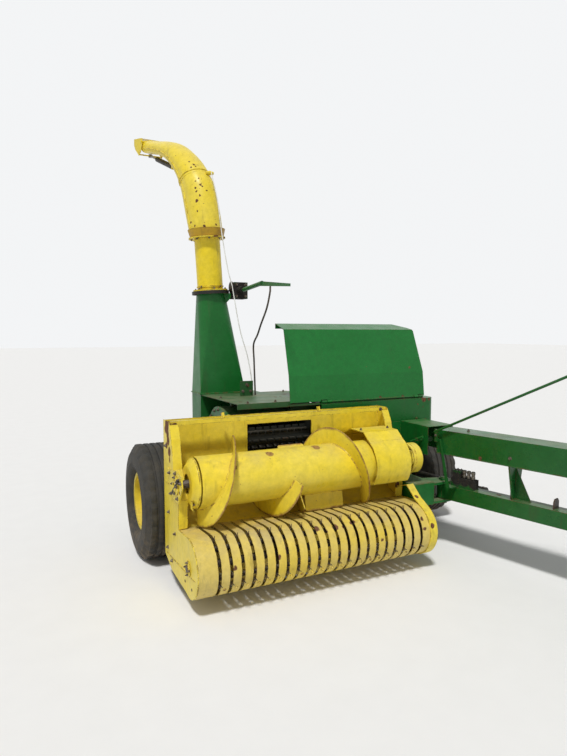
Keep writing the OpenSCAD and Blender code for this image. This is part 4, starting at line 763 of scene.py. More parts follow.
# Apron and hood: folded sheet in smooth glossy green, hinged along the seam between
# them; nicked along the edges, with rust starting from the seam and the nicks.
hood_marks = ((1.218, -0.360, 1.345, 0.012), (1.042, -0.370, 1.304, 0.010), (0.909, -0.385, 1.110, 0.016),
              (1.134, -0.385, 1.106, 0.018), (0.62, -0.375, 1.20, 0.006), (0.80, -0.35, 1.36, 0.007))
hood_green = painted("hood_green", (0.004, 0.135, 0.018, 1), (0.009, 0.160, 0.027, 1), chips=0.02,
                     edges=0.55, dust=0.15, grime=0.12, gloss=0.26, marks=hood_marks)
finish_node("hood", hood_green)
apron_marks = ((1.335, -0.40, 1.082, 0.024), (1.385, -0.39, 1.078, 0.018), (1.351, -0.40, 0.913, 0.010),
               (1.420, -0.37, 0.900, 0.009), (1.275, -0.40, 1.042, 0.007), (1.327, -0.40, 1.022, 0.008))
apron_green = painted("apron_green", (0.004, 0.105, 0.014, 1), (0.010, 0.130, 0.023, 1), chips=0.10,
                      edges=0.6, dust=0.35, grime=0.25, gloss=0.30, marks=apron_marks)
finish_node("apron", apron_green)
finish_node("hood_stays", tower_green)
apron_front, apron_top = -0.400, 1.090
apron_spots = [(x, apron_front, 0.925, (0, -1, 0)) for x in (0.42, 0.70, 0.98, 1.26)]
apron_spots += [(x, -0.150, apron_top, (0, 0, 1)) for x in (0.44, 1.23)]
bolts("apron_bolts", "chassis", apron_spots, width=0.015, finish=apron_green)
rest_spots = [(x + 0.0025, -0.330, apron_top + 0.005, (0, 0, 1)) for x in (0.47, 1.13)]
bolts("stay_bolts", "chassis", rest_spots, width=0.014)

# Turning motor of the spout: a black greasy worm case bolted to the tower, a turned cap
# over its worm, and a green arm of flat bar that reaches forward and carries the hose.
case_black = painted("worm_case", (0.012, 0.012, 0.011, 1), (0.030, 0.024, 0.018, 1), chips=0.25, edges=0.6,
                     dust=0.4, grime=0.6)
grease_black = ((0.010, 0.010, 0.009, 1), (0.028, 0.022, 0.017, 1))
case_marks = ((0.018, 0.400, 1.972, 0.125), (0.0, 0.310, 1.978, 0.052), (0.0, 0.260, 1.978, 0.045))
finish_node("rotator", painted("link_green", (0.008, 0.110, 0.018, 1), (0.020, 0.130, 0.032, 1), chips=0.35,
                               edges=0.7, dust=0.4, marks=case_marks, rust=grease_black))
worm_spots = [(x, 0.340, z, (0, -1, 0)) for x in (-0.022, 0.058) for z in (1.925, 2.02)]
bolts("worm_case_bolts", "chassis", worm_spots, width=0.014)
made = bmesh.new()
disc_place = moved(at_datum, (-0.040, 0.400, 2.000), ("Y", -90))
lathe(made, [(0.0008, 0.0), (0.046, 0.0), (0.050, 0.004), (0.050, 0.010), (0.044, 0.014), (0.030, 0.014),
             (0.026, 0.020), (0.0008, 0.020)], disc_place, 40)
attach(finished("worm_case_cap", made, case_black, 35), "chassis")

# Spout: a rolled neck that turns on the tower's ring and a curved duct of thin sheet,
# seamed along both sides, banded near its foot, with a wired lip at the outlet. The
# cap hangs on two pins and is pulled by an electric cylinder under the duct.
spout_marks = ((-0.344, 0.565, 3.023, 0.011), (-0.316, 0.532, 2.994, 0.013), (-0.302, 0.517, 2.978, 0.011),
               (-0.342, 0.523, 2.968, 0.010), (-0.293, 0.419, 2.810, 0.013), (-0.332, 0.431, 2.785, 0.012),
               (-0.329, 0.423, 2.751, 0.011), (-0.255, 0.403, 2.763, 0.010), (-0.281, 0.412, 2.795, 0.009),
               (-0.306, 0.404, 2.722, 0.010), (-0.331, 0.413, 2.681, 0.016), (-0.332, 0.402, 2.594, 0.009),
               (-0.367, 0.465, 2.513, 0.012), (-0.285, 0.363, 2.474, 0.014), (-0.184, 0.364, 2.500, 0.010),
               (-0.347, 0.417, 2.484, 0.011), (-0.302, 0.447, 2.868, 0.009), (-0.329, 0.446, 2.841, 0.009))
spout_yellow = painted("spout_yellow", yellow_colour, yellow_faded, chips=0.25, edges=0.6, dust=0.3,
                       grime=0.45, gloss=0.34, marks=spout_marks, specks=0.16)
neck_marks = ((-0.20, 0.33, 2.395, 0.030), (-0.31, 0.45, 2.398, 0.030), (-0.10, 0.40, 2.398, 0.024),
              (-0.26, 0.36, 2.01, 0.016), (-0.15, 0.37, 1.99, 0.022))
neck_yellow = painted("neck_yellow", yellow_colour, yellow_faded, chips=0.55, edges=1.0, dust=0.4,
                      grime=0.8, gloss=0.40, marks=neck_marks)
finish_node("spout_neck", neck_yellow)
finish_node("spout_cap", spout_yellow)
neck_rise = 0.450
spout_place = moved(ring_place, (0, 0, 0), ("Z", 12)) @ Matrix.Translation((0, 0, neck_rise))
# Stations of the duct from the neck out: out, up, slope in degrees, depth, width, squareness.
duct_stations = ((0.0, 0.0003, 90, 0.272, 0.272, 1), (0.022, 0.200, 80, 0.270, 0.264, 0.62),
                 (0.066, 0.400, 77, 0.256, 0.256, 0.5), (0.122, 0.505, 66, 0.228, 0.250, 0.5),
                 (0.191, 0.599, 53, 0.198, 0.244, 0.5), (0.284, 0.690, 42, 0.170, 0.238, 0.5),
                 (0.399, 0.776, 31, 0.152, 0.232, 0.5), (0.535, 0.842, 21, 0.128, 0.226, 0.5),
                 (0.702, 0.896, 15, 0.114, 0.220, 0.5), (0.880, 0.950, 13, 0.112, 0.214, 0.5))
duct_wall = 0.004
duct_corners = 64
steps_between = 6


def station_at(place):
    """Values between stations, eased by a curve through the neighbours."""
    low = min(int(place), len(duct_stations) - 2)
    t = place - low
    near = [duct_stations[max(0, min(len(duct_stations) - 1, low + k))] for k in (-1, 0, 1, 2)]
    return [eased(a, b, c, d, t) for a, b, c, d in zip(*near)]


def duct_spot(station, turn, inset):
    out, up, slope, depth, width, square = station
    slope = math.radians(slope)
    across, rise = math.sin(turn), math.cos(turn)
    power = square if rise < 0 else 1.0
    n = math.copysign(abs(rise) ** power, rise) * (depth / 2 - inset)
    b = math.copysign(abs(across) ** power, across) * (width / 2 - inset)
    return spout_place @ Vector((b, out - n * math.sin(slope), up + n * math.cos(slope)))


station_count = (len(duct_stations) - 1) * steps_between + 1
stations = [station_at(step / steps_between) for step in range(station_count)]
turns = [2 * math.pi * corner / duct_corners for corner in range(duct_corners)]
made = bmesh.new()
outer_rings = [[made.verts.new(duct_spot(station, turn, 0)) for turn in turns] for station in stations]
inner_rings = [[made.verts.new(duct_spot(station, turn, duct_wall)) for turn in turns]
               for station in stations]
join_rings(made, outer_rings + inner_rings[::-1] + outer_rings[:1], capped=False)
duct = finished("spout_duct_sheet", made, spout_yellow, 26)
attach(duct, "spout")

# The duct's fittings, welded or riveted to its sheet: a seam along both sides, a foot
# band, a wired lip, the cap's pins, the cap cylinder's ears and the cable's clip.
made = bmesh.new()
for side in (1, -1):
    seam_turn = side * math.radians(96)
    tube_along(made, [duct_spot(station, seam_turn, -0.0005) for station in stations[2:-1]], 0.0042, 8)
band_station = station_at(2.95)
for shift in (-0.012, 0.012):
    shifted = [band_station[0] + shift * math.cos(math.radians(band_station[2])),
               band_station[1] + shift * math.sin(math.radians(band_station[2]))] + band_station[2:]
    ring = [duct_spot(shifted, turn, -0.001) for turn in turns]
    tube_along(made, ring + ring[:1], 0.0032, 8, (0.1, 0.2, 0.97))
lip = [duct_spot(stations[-1], turn, 0.001) for turn in turns]
tube_along(made, lip + lip[:1], 0.0042, 10, (0.97, 0.2, 0.1))
end_out, end_up, end_slope = duct_stations[-1][:3]
end_place = moved(spout_place, (0, end_out, end_up), ("X", end_slope))
pin_shape = [(on_axis, 0.0), (0.008, 0.0), (0.008, 0.036), (0.0135, 0.037), (0.0135, 0.042),
             (0.011, 0.0435), (on_axis, 0.0435)]
for side in (1, -1):
    lathe(made, pin_shape, moved(end_place, (side * 0.077, -0.012, 0.034), ("Y", 90 * side)), 24)
ear = [(0.470 + 0.016 * math.cos(turn), 0.668 + 0.016 * math.sin(turn))
       for turn in (math.radians(angle) for angle in range(180, 361, 15))]
ear += [(0.520, 0.770), (0.446, 0.740)]
for x in (-0.024, 0.018):
    flat_plate(made, ear, moved(spout_place, (x, 0, 0), ("Z", 90), ("X", 90)), 0.006)
lathe(made, [(on_axis, -0.030), (0.013, -0.030), (0.013, -0.026), (0.008, -0.025), (0.008, 0.025),
             (0.013, 0.026), (0.013, 0.030), (on_axis, 0.030)],
      moved(spout_place, (0, 0.470, 0.668), ("Y", 90)), 24)
lathe(made, [(on_axis, -0.034), (0.012, -0.034), (0.014, -0.031), (0.014, -0.008), (0.0175, -0.006),
             (0.0175, 0.006), (0.014, 0.008), (0.014, 0.031), (0.012, 0.034), (on_axis, 0.034)],
      moved(spout_place, (0.058, -0.012, 0.523), ("Y", 90)), 28)
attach(finished("spout_duct_fittings", made, spout_yellow, 35), "spout")
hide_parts("spout_duct")
neck_up = spout_place.to_3x3() @ Vector((0, 0, 1))
for label, count, first, radius, z, way in (("flange", 8, 0.5, 0.128, -0.010, -neck_up),
                                            ("foot", 6, 0.25, 0.126, -0.4237, neck_up)):
    neck_spots = []
    for step in range(count):
        turn = 2 * math.pi * (step + first) / count
        spot = spout_place @ Vector((radius * math.cos(turn), radius * math.sin(turn), z)) - datum
        neck_spots.append((*spot, tuple(way)))
    bolts("neck_" + label + "_bolts", "spout", neck_spots, width=0.015, height=0.009)

# Collar and cap cylinder: a flared sheet collar round the duct's foot, its yellow painted darker and
# browner as painted shade under the duct and rusty where the paint has gone; four small bolts low on
# the neck, and the black cylinder that pulls the cap with a plated rod.
made = bmesh.new()
lathe(made, [(0.1120, -0.0100), (0.1370, -0.0002), (0.1520, 0.0560), (0.1535, 0.0640), (0.1480, 0.0640),
             (0.1470, 0.0570), (0.1365, 0.0060), (0.1120, -0.0040)], spout_place, 72)
# The collar's darker yellow and brown are painted shade; the rust at chips and edges is wear.
collar_rust_and_shade = painted("collar_rust_and_shade", (0.60, 0.38, 0.015, 1), (0.34, 0.18, 0.022, 1), chips=0.9, edges=1.2,
                      dust=0.3)
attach(finished("duct_foot_collar", made, collar_rust_and_shade, 35), "spout")
neck_out, neck_low = 0.111, -0.4007
collar_spots = []
for turn in (-70, -160, 30, 110):
    way = Vector((math.cos(math.radians(turn)), math.sin(math.radians(turn)), 0))
    spot = spout_place @ (way * neck_out + Vector((0, 0, neck_low))) - datum
    collar_spots.append((*spot, tuple(spout_place.to_3x3() @ way)))
bolts("neck_collar_bolts", "spout", collar_spots, width=0.010, height=0.006)
cylinder_black = painted("cylinder_black", (0.014, 0.013, 0.012, 1), (0.045, 0.036, 0.028, 1), chips=0.5,
                         edges=0.9, dust=0.8, grime=0.7, gloss=0.42)
rod_chrome = metal_finish("rod_chrome", (0.42, 0.41, 0.39, 1), (0.28, 0.26, 0.24, 1), rough=0.22,
                          metallic=0.95, rust=0.1)
finish_node("cap_actuator", cylinder_black)
finish_node("cap_rod", rod_chrome)

# Head frame: yellow side panels with turned flanges, bearing plates on both ends, a
# rear sheet and one top bar; rust shows where the flange paint has been rubbed off.
panel_out = 0.838
head_marks = ((-0.838, -0.535, 1.036, 0.048), (-0.838, -0.500, 1.005, 0.028),
              (-0.838, -0.548, 0.985, 0.038), (-0.838, -0.560, 0.940, 0.038),
              (-0.838, -0.520, 0.905, 0.026), (-0.838, -0.585, 0.872, 0.034),
              (-0.838, -0.590, 0.826, 0.022), (-0.800, -0.571, 1.044, 0.014), (0.787, -0.571, 1.043, 0.016),
              (0.02, -0.46, 0.97, 0.016), (0.10, -0.46, 0.93, 0.012), (0.16, -0.46, 0.88, 0.018),
              (-0.838, -0.834, 0.673, 0.014), (0.80, -1.165, 0.33, 0.020), (0.80, -0.985, 0.48, 0.016),
              (0.79, -0.78, 0.52, 0.022))
head_yellow = painted("head_yellow", yellow_colour, yellow_faded, chips=0.42, edges=0.8, dust=0.45,
                      grime=0.55, gloss=0.36, marks=head_marks)
finish_node("head_frame", head_yellow)
black_iron = painted("adjuster_black", (0.020, 0.017, 0.014, 1), (0.055, 0.040, 0.028, 1), chips=0.2,
                     edges=0.4, dust=0.4, grime=0.5)
panel_lines = [((-panel_out, -0.475, 0.663), (-panel_out, -0.760, 0.671)),
               ((-panel_out, -0.480, 0.190), (-panel_out, -1.120, 0.240))]
inner_x = 0.832
for side in (-1, 1):
    panel_lines.append(((side * inner_x, -0.560, 0.331), (side * inner_x, -0.480, 0.331)))
    panel_lines.append(((side * inner_x, -0.462, 0.345), (side * inner_x, -0.462, 1.050)))
    panel_lines.append(((side * inner_x, -0.571, 1.038), (side * inner_x, -0.543, 1.038)))
    for y, z, y_end, z_end in ((-0.634, 0.960, -0.676, 0.778), (-0.676, 0.778, -0.785, 0.610)):
        panel_lines.append(((side * inner_x, y + 0.009, z), (side * inner_x, y_end + 0.009, z_end)))
for x in (-0.344, -0.330, 0.330, 0.344):
    panel_lines.append(((x, -0.454, 0.960), (x, -0.454, 1.040)))
for x in (-0.474, 0.251):
    panel_lines.append(((x, -0.565, 1.066), (x, -0.546, 1.066)))
    panel_lines.append(((x + 0.014, -0.565, 1.066), (x + 0.014, -0.546, 1.066)))
weld_beads("head_welds", "head", panel_lines, 0.0042, head_yellow)
auger_centre, reel_centre = (-0.765, 0.705), (-0.990, 0.270)
plate_out = panel_out + 0.008
head_spots = [(0.781, -0.5715, 1.051, (0, -1, 0))]
for side in (-1, 1):
    for y, z in ((-0.870, 0.740), (-0.800, 0.630), (-0.650, 0.625), (-0.620, 0.750), (-0.760, 0.776)):
        head_spots.append((side * plate_out, y, z, (side, 0, 0)))
    for y, z in ((-0.520, 0.235), (-0.620, 0.180), (-0.560, 0.480), (-0.700, 0.380), (-0.500, 0.900)):
        head_spots.append((side * panel_out, y, z, (side, 0, 0)))
bolts("head_bolts", "head", head_spots, width=0.017)
made = bmesh.new()
eyelet = [(on_axis, 0.0), (0.009, 0.0), (0.009, 0.0014), (0.007, 0.0030), (0.0055, 0.0014),
          (on_axis, 0.0014)]
for side in (-1, 1):
    for y, z in ((-0.948, 0.272), (-1.017, 0.257), (-0.913, 0.165), (-1.049, 0.167)):
        lathe(made, eyelet, moved(at_datum, (side * (panel_out - 0.001), y, z), ("Y", 90 * side)), 20)
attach(finished("panel_eyelets", made, black_iron, 35), "head")
for side, label in ((-1, "right"), (1, "left")):
    cast_bearing("auger_bearing_" + label, "head", (side * plate_out, *auger_centre), (side, 0, 0), 0.062,
                 finish=head_yellow, height=0.014, bolt_width=0.014)
    cast_bearing("reel_bearing_" + label, "head", (side * panel_out, *reel_centre), (side, 0, 0), 0.046,
                 finish=head_yellow, height=0.012, bolt_width=0.011)
for side, label in ((-1, "right"), (1, "left")):
    made = bmesh.new()
    x = side * (plate_out + 0.010)
    tube_along(made, [here(x, -0.700, 0.640), here(x, -0.860, 0.762)], 0.006, 10)
    lathe(made, [(0.006, -0.008), (0.013, -0.008), (0.014, -0.006), (0.014, 0.006), (0.013, 0.008),
                 (0.006, 0.008)], aimed((x, -0.838, 0.745), (0, -0.795, 0.606)), 6)
    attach(finished("auger_adjuster_" + label, made, black_iron, 30), "head")

# Stripper bands: thin sprung yellow sheet bent round the reel, dusty over the top, the
# paint rubbed to pinkish rust low on the nose where the crop slides up.
bands_marks = ((-0.050, -1.086, 0.418, 0.024), (0.004, -1.105, 0.403, 0.016), (0.077, -1.093, 0.413, 0.023),
               (0.138, -1.104, 0.404, 0.016), (0.211, -1.087, 0.417, 0.024), (0.563, -1.154, 0.333, 0.016),
               (0.734, -1.128, 0.379, 0.018), (0.738, -1.160, 0.316, 0.016), (0.806, -1.154, 0.334, 0.016),
               (-0.34, -1.160, 0.310, 0.013), (-0.62, -1.160, 0.300, 0.015), (0.39, -1.160, 0.300, 0.013))
band_yellow = painted("band_yellow", (0.72, 0.53, 0.060, 1), (0.66, 0.52, 0.17, 1), chips=0.35, edges=0.7,
                      dust=0.8, grime=0.7, gloss=0.48, marks=bands_marks,
                      rust=((0.07, 0.030, 0.016, 1), (0.19, 0.085, 0.042, 1)))
finish_node("stripper_bands", band_yellow)
band_radius = 0.175
band_step, band_total = 0.0707, 21
slots = [(-band_total / 2 + 0.5 + step) * band_step for step in range(band_total)]
middles = [(a + b) / 2 for a, b in zip(slots, slots[1:])]
low_turn = math.radians(214)
low_way = (0, math.cos(low_turn), math.sin(low_turn))
low_y, low_z = (reel_centre[k] + band_radius * low_way[k + 1] for k in (0, 1))
band_spots = [(x, low_y, low_z, low_way) for x in middles]
bolts("band_bolts", "head", band_spots, width=0.013, height=0.005, finish=band_yellow)

# Cross auger: a rolled tube with two opposed flights welded on, flat paddles between
# them, and the clutch drum on its left end. Crop keeps the crests bare and brown.
auger_marks = ((-0.25, -0.83, 0.86, 0.030), (0.10, -0.80, 0.865, 0.034), (0.33, -0.84, 0.85, 0.026),
               (-0.52, -0.88, 0.80, 0.022))
auger_yellow = painted("auger_yellow", yellow_colour, yellow_faded, chips=0.40, edges=0.7, dust=0.45,
                       grime=0.5, gloss=0.34, marks=auger_marks, specks=0.10,
                       crest=(*auger_centre, 0.256, 0.272),
                       rust=((0.20, 0.095, 0.030, 1), (0.42, 0.25, 0.070, 1)))
auger_place = moved(at_datum, (0, *auger_centre), ("Y", 90))
tube_from, tube_to, tube_radius = -0.7265, 0.765, 0.162
flight_pitch, flight_thick = 0.480, 0.007
flight_section = ((0.156, 0.0), (0.2690, 0.0), (0.2725, 0.0008), (0.2738, 0.0022), (0.2740, 0.0035),
                  (0.2738, 0.0048), (0.2725, 0.0062), (0.2690, 0.0070), (0.156, 0.0070))
degrees_a_step = 5


def helix_spot(radius, x_start, shift, turned, hand):
    angle = math.radians(-90 + turned)
    x = x_start + hand * flight_pitch * turned / 360 + shift
    return here(x, auger_centre[0] - radius * math.cos(angle), auger_centre[1] + radius * math.sin(angle))


made = bmesh.new()
lathe(made, [(tube_radius - 0.006, tube_from), (tube_radius, tube_from), (tube_radius, tube_to),
             (tube_radius - 0.006, tube_to)], auger_place, 96)
for x in (tube_from + 0.030, 0.0, tube_to - 0.040):
    lathe(made, [(0.026, x), (0.1565, x), (0.1565, x + 0.008), (0.026, x + 0.008)], auger_place, 48)
for x_start, turn_total, hand in ((-0.715, 445, 1), (0.477, 400, -1)):
    count = turn_total // degrees_a_step
    rings = []
    for step in range(count + 1):
        turned = turn_total * step / count
        rings.append([made.verts.new(helix_spot(radius, x_start, shift, turned, hand))
                      for radius, shift in flight_section])
    join_rings(made, rings)
    for shift in (-0.0005, flight_thick + 0.0005):
        root = [helix_spot(tube_radius + 0.0005, x_start, shift, turn_total * step / (count * 2), hand)
                for step in range(count * 2 + 1)]
        sizes = [0.0042 + 0.0006 * (step % 2) for step in range(count * 2 + 1)]
        tube_along(made, root, sizes, 6, (1, 0, 0))
paddle_spots = []
for angle, x_start, long in ((-100, 0.020, 0.290), (28, -0.060, 0.200)):
    turned = moved(at_datum, (x_start, *auger_centre), ("X", angle))
    outline = [(0, 0.158), (long, 0.158), (long, 0.262), (long - 0.012, 0.274), (0.012, 0.274), (0, 0.262)]
    flat_plate(made, outline, moved(turned, (0, 0, -0.004)), 0.008)
    outward = turned.to_3x3() @ Vector((0, 0, 1))
    for along in (0.05, long - 0.05):
        spot = turned @ Vector((along, 0.200, 0.004)) - datum
        paddle_spots.append((*spot, tuple(outward)))
    for side in (-1, 1):
        foot = [turned @ Vector((along * long / 12, 0.1625, side * 0.005)) for along in range(13)]
        tube_along(made, foot, [0.0040 + 0.0006 * (along % 2) for along in range(13)], 6, (0, 0.3, 0.9))
auger = finished("auger_tube_and_flights", made, auger_yellow, 35)
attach(auger, "cross_auger")
bolts("auger_paddle_bolts", "cross_auger", paddle_spots, width=0.015)
made = bmesh.new()
lathe(made, [(on_axis, -0.852), (0.023, -0.852), (0.025, -0.850), (0.025, 0.978), (0.023, 0.980),
             (on_axis, 0.980)], auger_place, 32)
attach(finished("auger_shaft", made, bare_steel, 35), "cross_auger")
made = bmesh.new()
lathe(made, [(0.0255, 0.926), (0.100, 0.926), (0.100, 0.868), (0.110, 0.868), (0.110, 0.880),
             (0.107, 0.882), (0.107, 0.890), (0.110, 0.892), (0.110, 0.945), (0.106, 0.950),
             (0.0600, 0.950), (0.0550, 0.956), (0.0300, 0.956), (0.0255, 0.952)], auger_place, 64)
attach(finished("auger_clutch_drum", made, auger_yellow, 35), "cross_auger")
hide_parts("auger")
bolts("clutch_bolts", "cross_auger", bolt_ring((0.950, *auger_centre), (1, 0, 0), 0.082, 8), width=0.015)

# End cone and end shield of the auger: spun and folded yellow sheet, fixed to the
# side panels; the cone's edge is rolled over a wire.
cone_x = -0.7787
made = bmesh.new()
lathe(made, [(0.060, cone_x), (0.108, cone_x), (0.112, cone_x + 0.0008), (0.148, cone_x + 0.028),
             (0.1535, cone_x + 0.036), (0.1535, cone_x + 0.0420), (0.1500, cone_x + 0.0420),
             (0.1500, cone_x + 0.0375), (0.145, cone_x + 0.0315), (0.108, cone_x + 0.0045),
             (0.060, cone_x + 0.0045)], auger_place, 72)
rim = [auger_place @ Vector((0.1530 * math.cos(turn), 0.1530 * math.sin(turn), cone_x + 0.0415))
       for turn in (2 * math.pi * step / 96 for step in range(97))]
tube_along(made, rim, 0.0046, 10, (0, 0, 1))
tab = moved(at_datum, (cone_x + 0.001, -0.858, 0.570), ("Z", 90), ("X", 90))
flat_plate(made, [(-0.020, 0.000), (0.020, 0.000), (0.026, 0.045), (-0.008, 0.052)], tab, 0.005)
cone = finished("auger_end_cone_rolled", made, head_yellow, 35)
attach(cone, "head")
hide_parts("auger_end_cone")
bolts("cone_bolts", "head", [(cone_x + 0.006, -0.858, 0.598, (1, 0, 0))]
      + bolt_ring((cone_x + 0.0045, *auger_centre), (1, 0, 0), 0.086, 4, first=0.4), width=0.014)
finish_node("auger_end_shield", head_yellow)
shield_y, shield_z = auger_centre[0] + 0.060, auger_centre[1] + 0.2250
shield_spots = [(x, shield_y, shield_z, (0, -0.012, 1)) for x in (0.520, 0.750)]
bolts("end_shield_bolts", "head", shield_spots, width=0.015)

# Pickup reel: a dark shaft with four discs and four round bars; each slot has a spring
# tine, one wire with a coil round the bar and two fingers that spread into a Y.
tine_steel = metal_finish("tine_steel", (0.15, 0.13, 0.11, 1), (0.075, 0.055, 0.042, 1), rough=0.4,
                          metallic=0.6, rust=0.6)
reel_black = painted("reel_black", (0.030, 0.026, 0.020, 1), (0.070, 0.050, 0.034, 1), chips=0.9, edges=0.9,
                     dust=0.7, grime=0.8)
reel_place = moved(at_datum, (0, *reel_centre), ("Y", 90))
bar_at, bar_thick, wire_thick = 0.116, 0.0125, 0.0026
bar_angles = (20, 110, 200, 290)
made = bmesh.new()
lathe(made, [(on_axis, -0.852), (0.022, -0.852), (0.024, -0.850), (0.024, 0.850), (0.022, 0.852),
             (on_axis, 0.852)], reel_place, 32)
for x in (-0.748, -0.2793, 0.2793, 0.740):
    lathe(made, [(0.0235, x), (0.044, x), (0.046, x + 0.001), (0.140, x + 0.001), (0.140, x + 0.008),
                 (0.046, x + 0.008), (0.0235, x + 0.008)], reel_place, 56)
for angle in bar_angles:
    turn = math.radians(angle)
    middle = (reel_centre[0] - bar_at * math.sin(turn), reel_centre[1] + bar_at * math.cos(turn))
    tube_along(made, [here(-0.778, *middle), here(0.0, *middle), here(0.778, *middle)], bar_thick, 14,
               (0, 0.3, 1))
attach(finished("reel_shaft_and_bars", made, reel_black, 40), "pickup_reel")


def tine_tree():
    sizes = (("Wire", 0.0026), ("Reach", 0.084), ("Spread", 0.0055), ("Coil", 0.0152))
    tree, given, share = scatter_tree("spring_tines", sizes)
    wire = add_node(tree, "GeometryNodeCurvePrimitiveCircle", {"mode": "RADIUS"}, Resolution=6,
                    Radius=given["Wire"])
    joined = add_node(tree, "GeometryNodeJoinGeometry")

    def spot(x_part, y, z_label, z_part):
        return add_node(tree, "ShaderNodeCombineXYZ", i0=share("Spread", x_part), i1=y,
                        i2=share(z_label, z_part)).outputs[0]

    def wired(curve):
        solid = add_node(tree, "GeometryNodeCurveToMesh", Curve=curve, i1=wire.outputs["Curve"],
                         Fill_Caps=True)
        tree.links.new(solid.outputs[0], joined.inputs[0])

    for side in (-1, 1):
        finger = add_node(tree, "GeometryNodeCurvePrimitiveBezierSegment", {"mode": "POSITION"},
                          Resolution=9)
        for label, place in (("Start", spot(side * 0.5, -0.004, "Coil", 0.9)),
                             ("Start Handle", spot(side * 0.5, -0.001, "Reach", 0.45)),
                             ("End Handle", spot(side * 0.9, 0.0, "Reach", 0.72)),
                             ("End", spot(side * 1.25, 0.007, "Reach", 1.0))):
            tree.links.new(place, finger.inputs[label])
        wired(finger.outputs["Curve"])
        coil = add_node(tree, "GeometryNodeCurveSpiral", Resolution=14, Rotations=2.0, Height=0.011,
                        Start_Radius=given["Coil"], End_Radius=given["Coil"])
        laid = add_node(tree, "GeometryNodeTransform", Geometry=coil.outputs[0],
                        Rotation=(0, side * math.pi / 2, 0))
        wired(laid.outputs[0])
    return scattered(tree, given, joined.outputs[0], faced(tree, "X"))


tine_reach, tine_spread = 0.084, 0.0050
tine_spots = []
for angle in bar_angles:
    turn = math.radians(angle)
    way = (0, -math.sin(turn), math.cos(turn))
    middle = (reel_centre[0] + bar_at * way[1], reel_centre[1] + bar_at * way[2])
    tine_spots += [(x, *middle, way) for x in slots]
tine_sizes = {"Wire": wire_thick, "Reach": tine_reach, "Spread": tine_spread,
              "Coil": bar_thick + wire_thick, "Finish": tine_steel}
tines = grown("reel_tines", tine_spots, tine_tree(), tine_sizes)
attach(tines, "pickup_reel")
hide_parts("tine_reel")

# Lift and swing cylinders: black painted barrels with a turned gland and two ports, and
# plated rods that stay bright where the seal wipes them.
for node in ("lift_barrel", "swing_barrel"):
    finish_node(node, cylinder_black)
for node in ("lift_rod", "swing_rod"):
    finish_node(node, rod_chrome)
pivot = Vector((1.207, -0.800, 0))
tongue_turn = math.radians(14.6)
tongue_high = 0.440
forward = Vector((math.sin(tongue_turn), -math.cos(tongue_turn), 0))
leftward = Vector((math.cos(tongue_turn), math.sin(tongue_turn), 0))
lift_from, lift_to = Vector((0.420, -0.020, 0.590)), Vector((0.420, -0.425, 0.560))
swing_from = Vector((1.330, -0.300, tongue_high))
swing_to = pivot + 0.520 * forward + 0.160 * leftward + Vector((0, 0, tongue_high))
for name, body, start, end, length in (("lift", "lift_cylinder", lift_from, lift_to, 0.290),
                                       ("swing", "swing_cylinder", swing_from, swing_to, 0.700)):
    turned = aimed(start, end - start)
    made = bmesh.new()
    lathe(made, [(0.0145, length - 0.034), (0.0315, length - 0.034), (0.0330, length - 0.031),
                 (0.0330, length - 0.022), (0.0305, length - 0.020), (0.0305, length - 0.008),
                 (0.0330, length - 0.006), (0.0330, length + 0.001), (0.0290, length + 0.004),
                 (0.0145, length + 0.004)], turned, 40)
    lathe(made, [(0.020, 0.046), (0.0315, 0.046), (0.0325, 0.049), (0.0325, 0.056), (0.0315, 0.059),
                 (0.020, 0.059)], turned, 40)
    for along in (0.075, length - 0.055):
        port = moved(turned, (0, 0, along), ("Y", 90))
        if (port.to_3x3() @ Vector((0, 0, 1))).z < 0:
            port = port @ Matrix.Rotation(math.pi, 4, "X")
        lathe(made, [(on_axis, 0.026), (0.012, 0.026), (0.012, 0.040), (0.0095, 0.042), (0.0095, 0.050),
                     (on_axis, 0.050)], port, 20)
    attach(finished(name + "_cylinder_gland", made, cylinder_black, 35), body)

# Tongue, driveline shield and their fittings: one square tube with a bent sheet channel
# above it on welded hangers; dust lies on top, the edges are worn and the sides streaked.
tongue_place = moved(at_datum, pivot) @ Matrix.Rotation(tongue_turn, 4, "Z")


def on_tongue(across, ahead, high):
    """Spot in datum metres, given across to the left, ahead of the pivot, and up."""
    return tuple(tongue_place @ Vector((across, -ahead, high)) - datum)


tongue_marks = [(*on_tongue(0.0, ahead, 0.494), size)
                for ahead, size in ((0.45, 0.020), (1.20, 0.026), (1.9, 0.020))]
tongue_green = painted("tongue_green", (0.006, 0.090, 0.012, 1), (0.016, 0.115, 0.024, 1), chips=0.45,
                       edges=0.75, dust=0.5, grime=0.6, gloss=0.30, marks=tongue_marks)
shield_marks = [(*on_tongue(-0.10, ahead, high), size)
                for ahead, high, size in ((0.35, 0.75, 0.016), (0.98, 0.90, 0.014), (1.62, 0.745, 0.018))]
shield_green = painted("shield_green", (0.006, 0.092, 0.013, 1), (0.014, 0.118, 0.024, 1), chips=0.25,
                       edges=0.6, dust=0.45, grime=0.45, gloss=0.28, marks=shield_marks)
finish_node("tongue", tongue_green)
finish_node("driveline_shield", shield_green)
finish_node("control_rod", tongue_green)
finish_node("driveline", bare_steel)
finish_node("jack", cylinder_black)
valve_marks = [(*on_tongue(-0.010, ahead, 0.560), 0.078) for ahead in (0.14, 0.21, 0.28)]
finish_node("hose_valve", painted("lever_green", (0.006, 0.095, 0.013, 1), (0.016, 0.118, 0.024, 1),
                                  chips=0.25, edges=0.5, dust=0.4, marks=valve_marks, rust=grease_black))
tongue_top = 0.495
tongue_lines = []
for ahead in (0.570, 2.250):
    for side in (-1, 1):
        for start, end in (((side * 0.040, ahead), (0.0, ahead)),
                           ((side * 0.0045, ahead), (side * 0.0045, ahead + 0.110))):
            tongue_lines.append((on_tongue(*start, tongue_top), on_tongue(*end, tongue_top)))
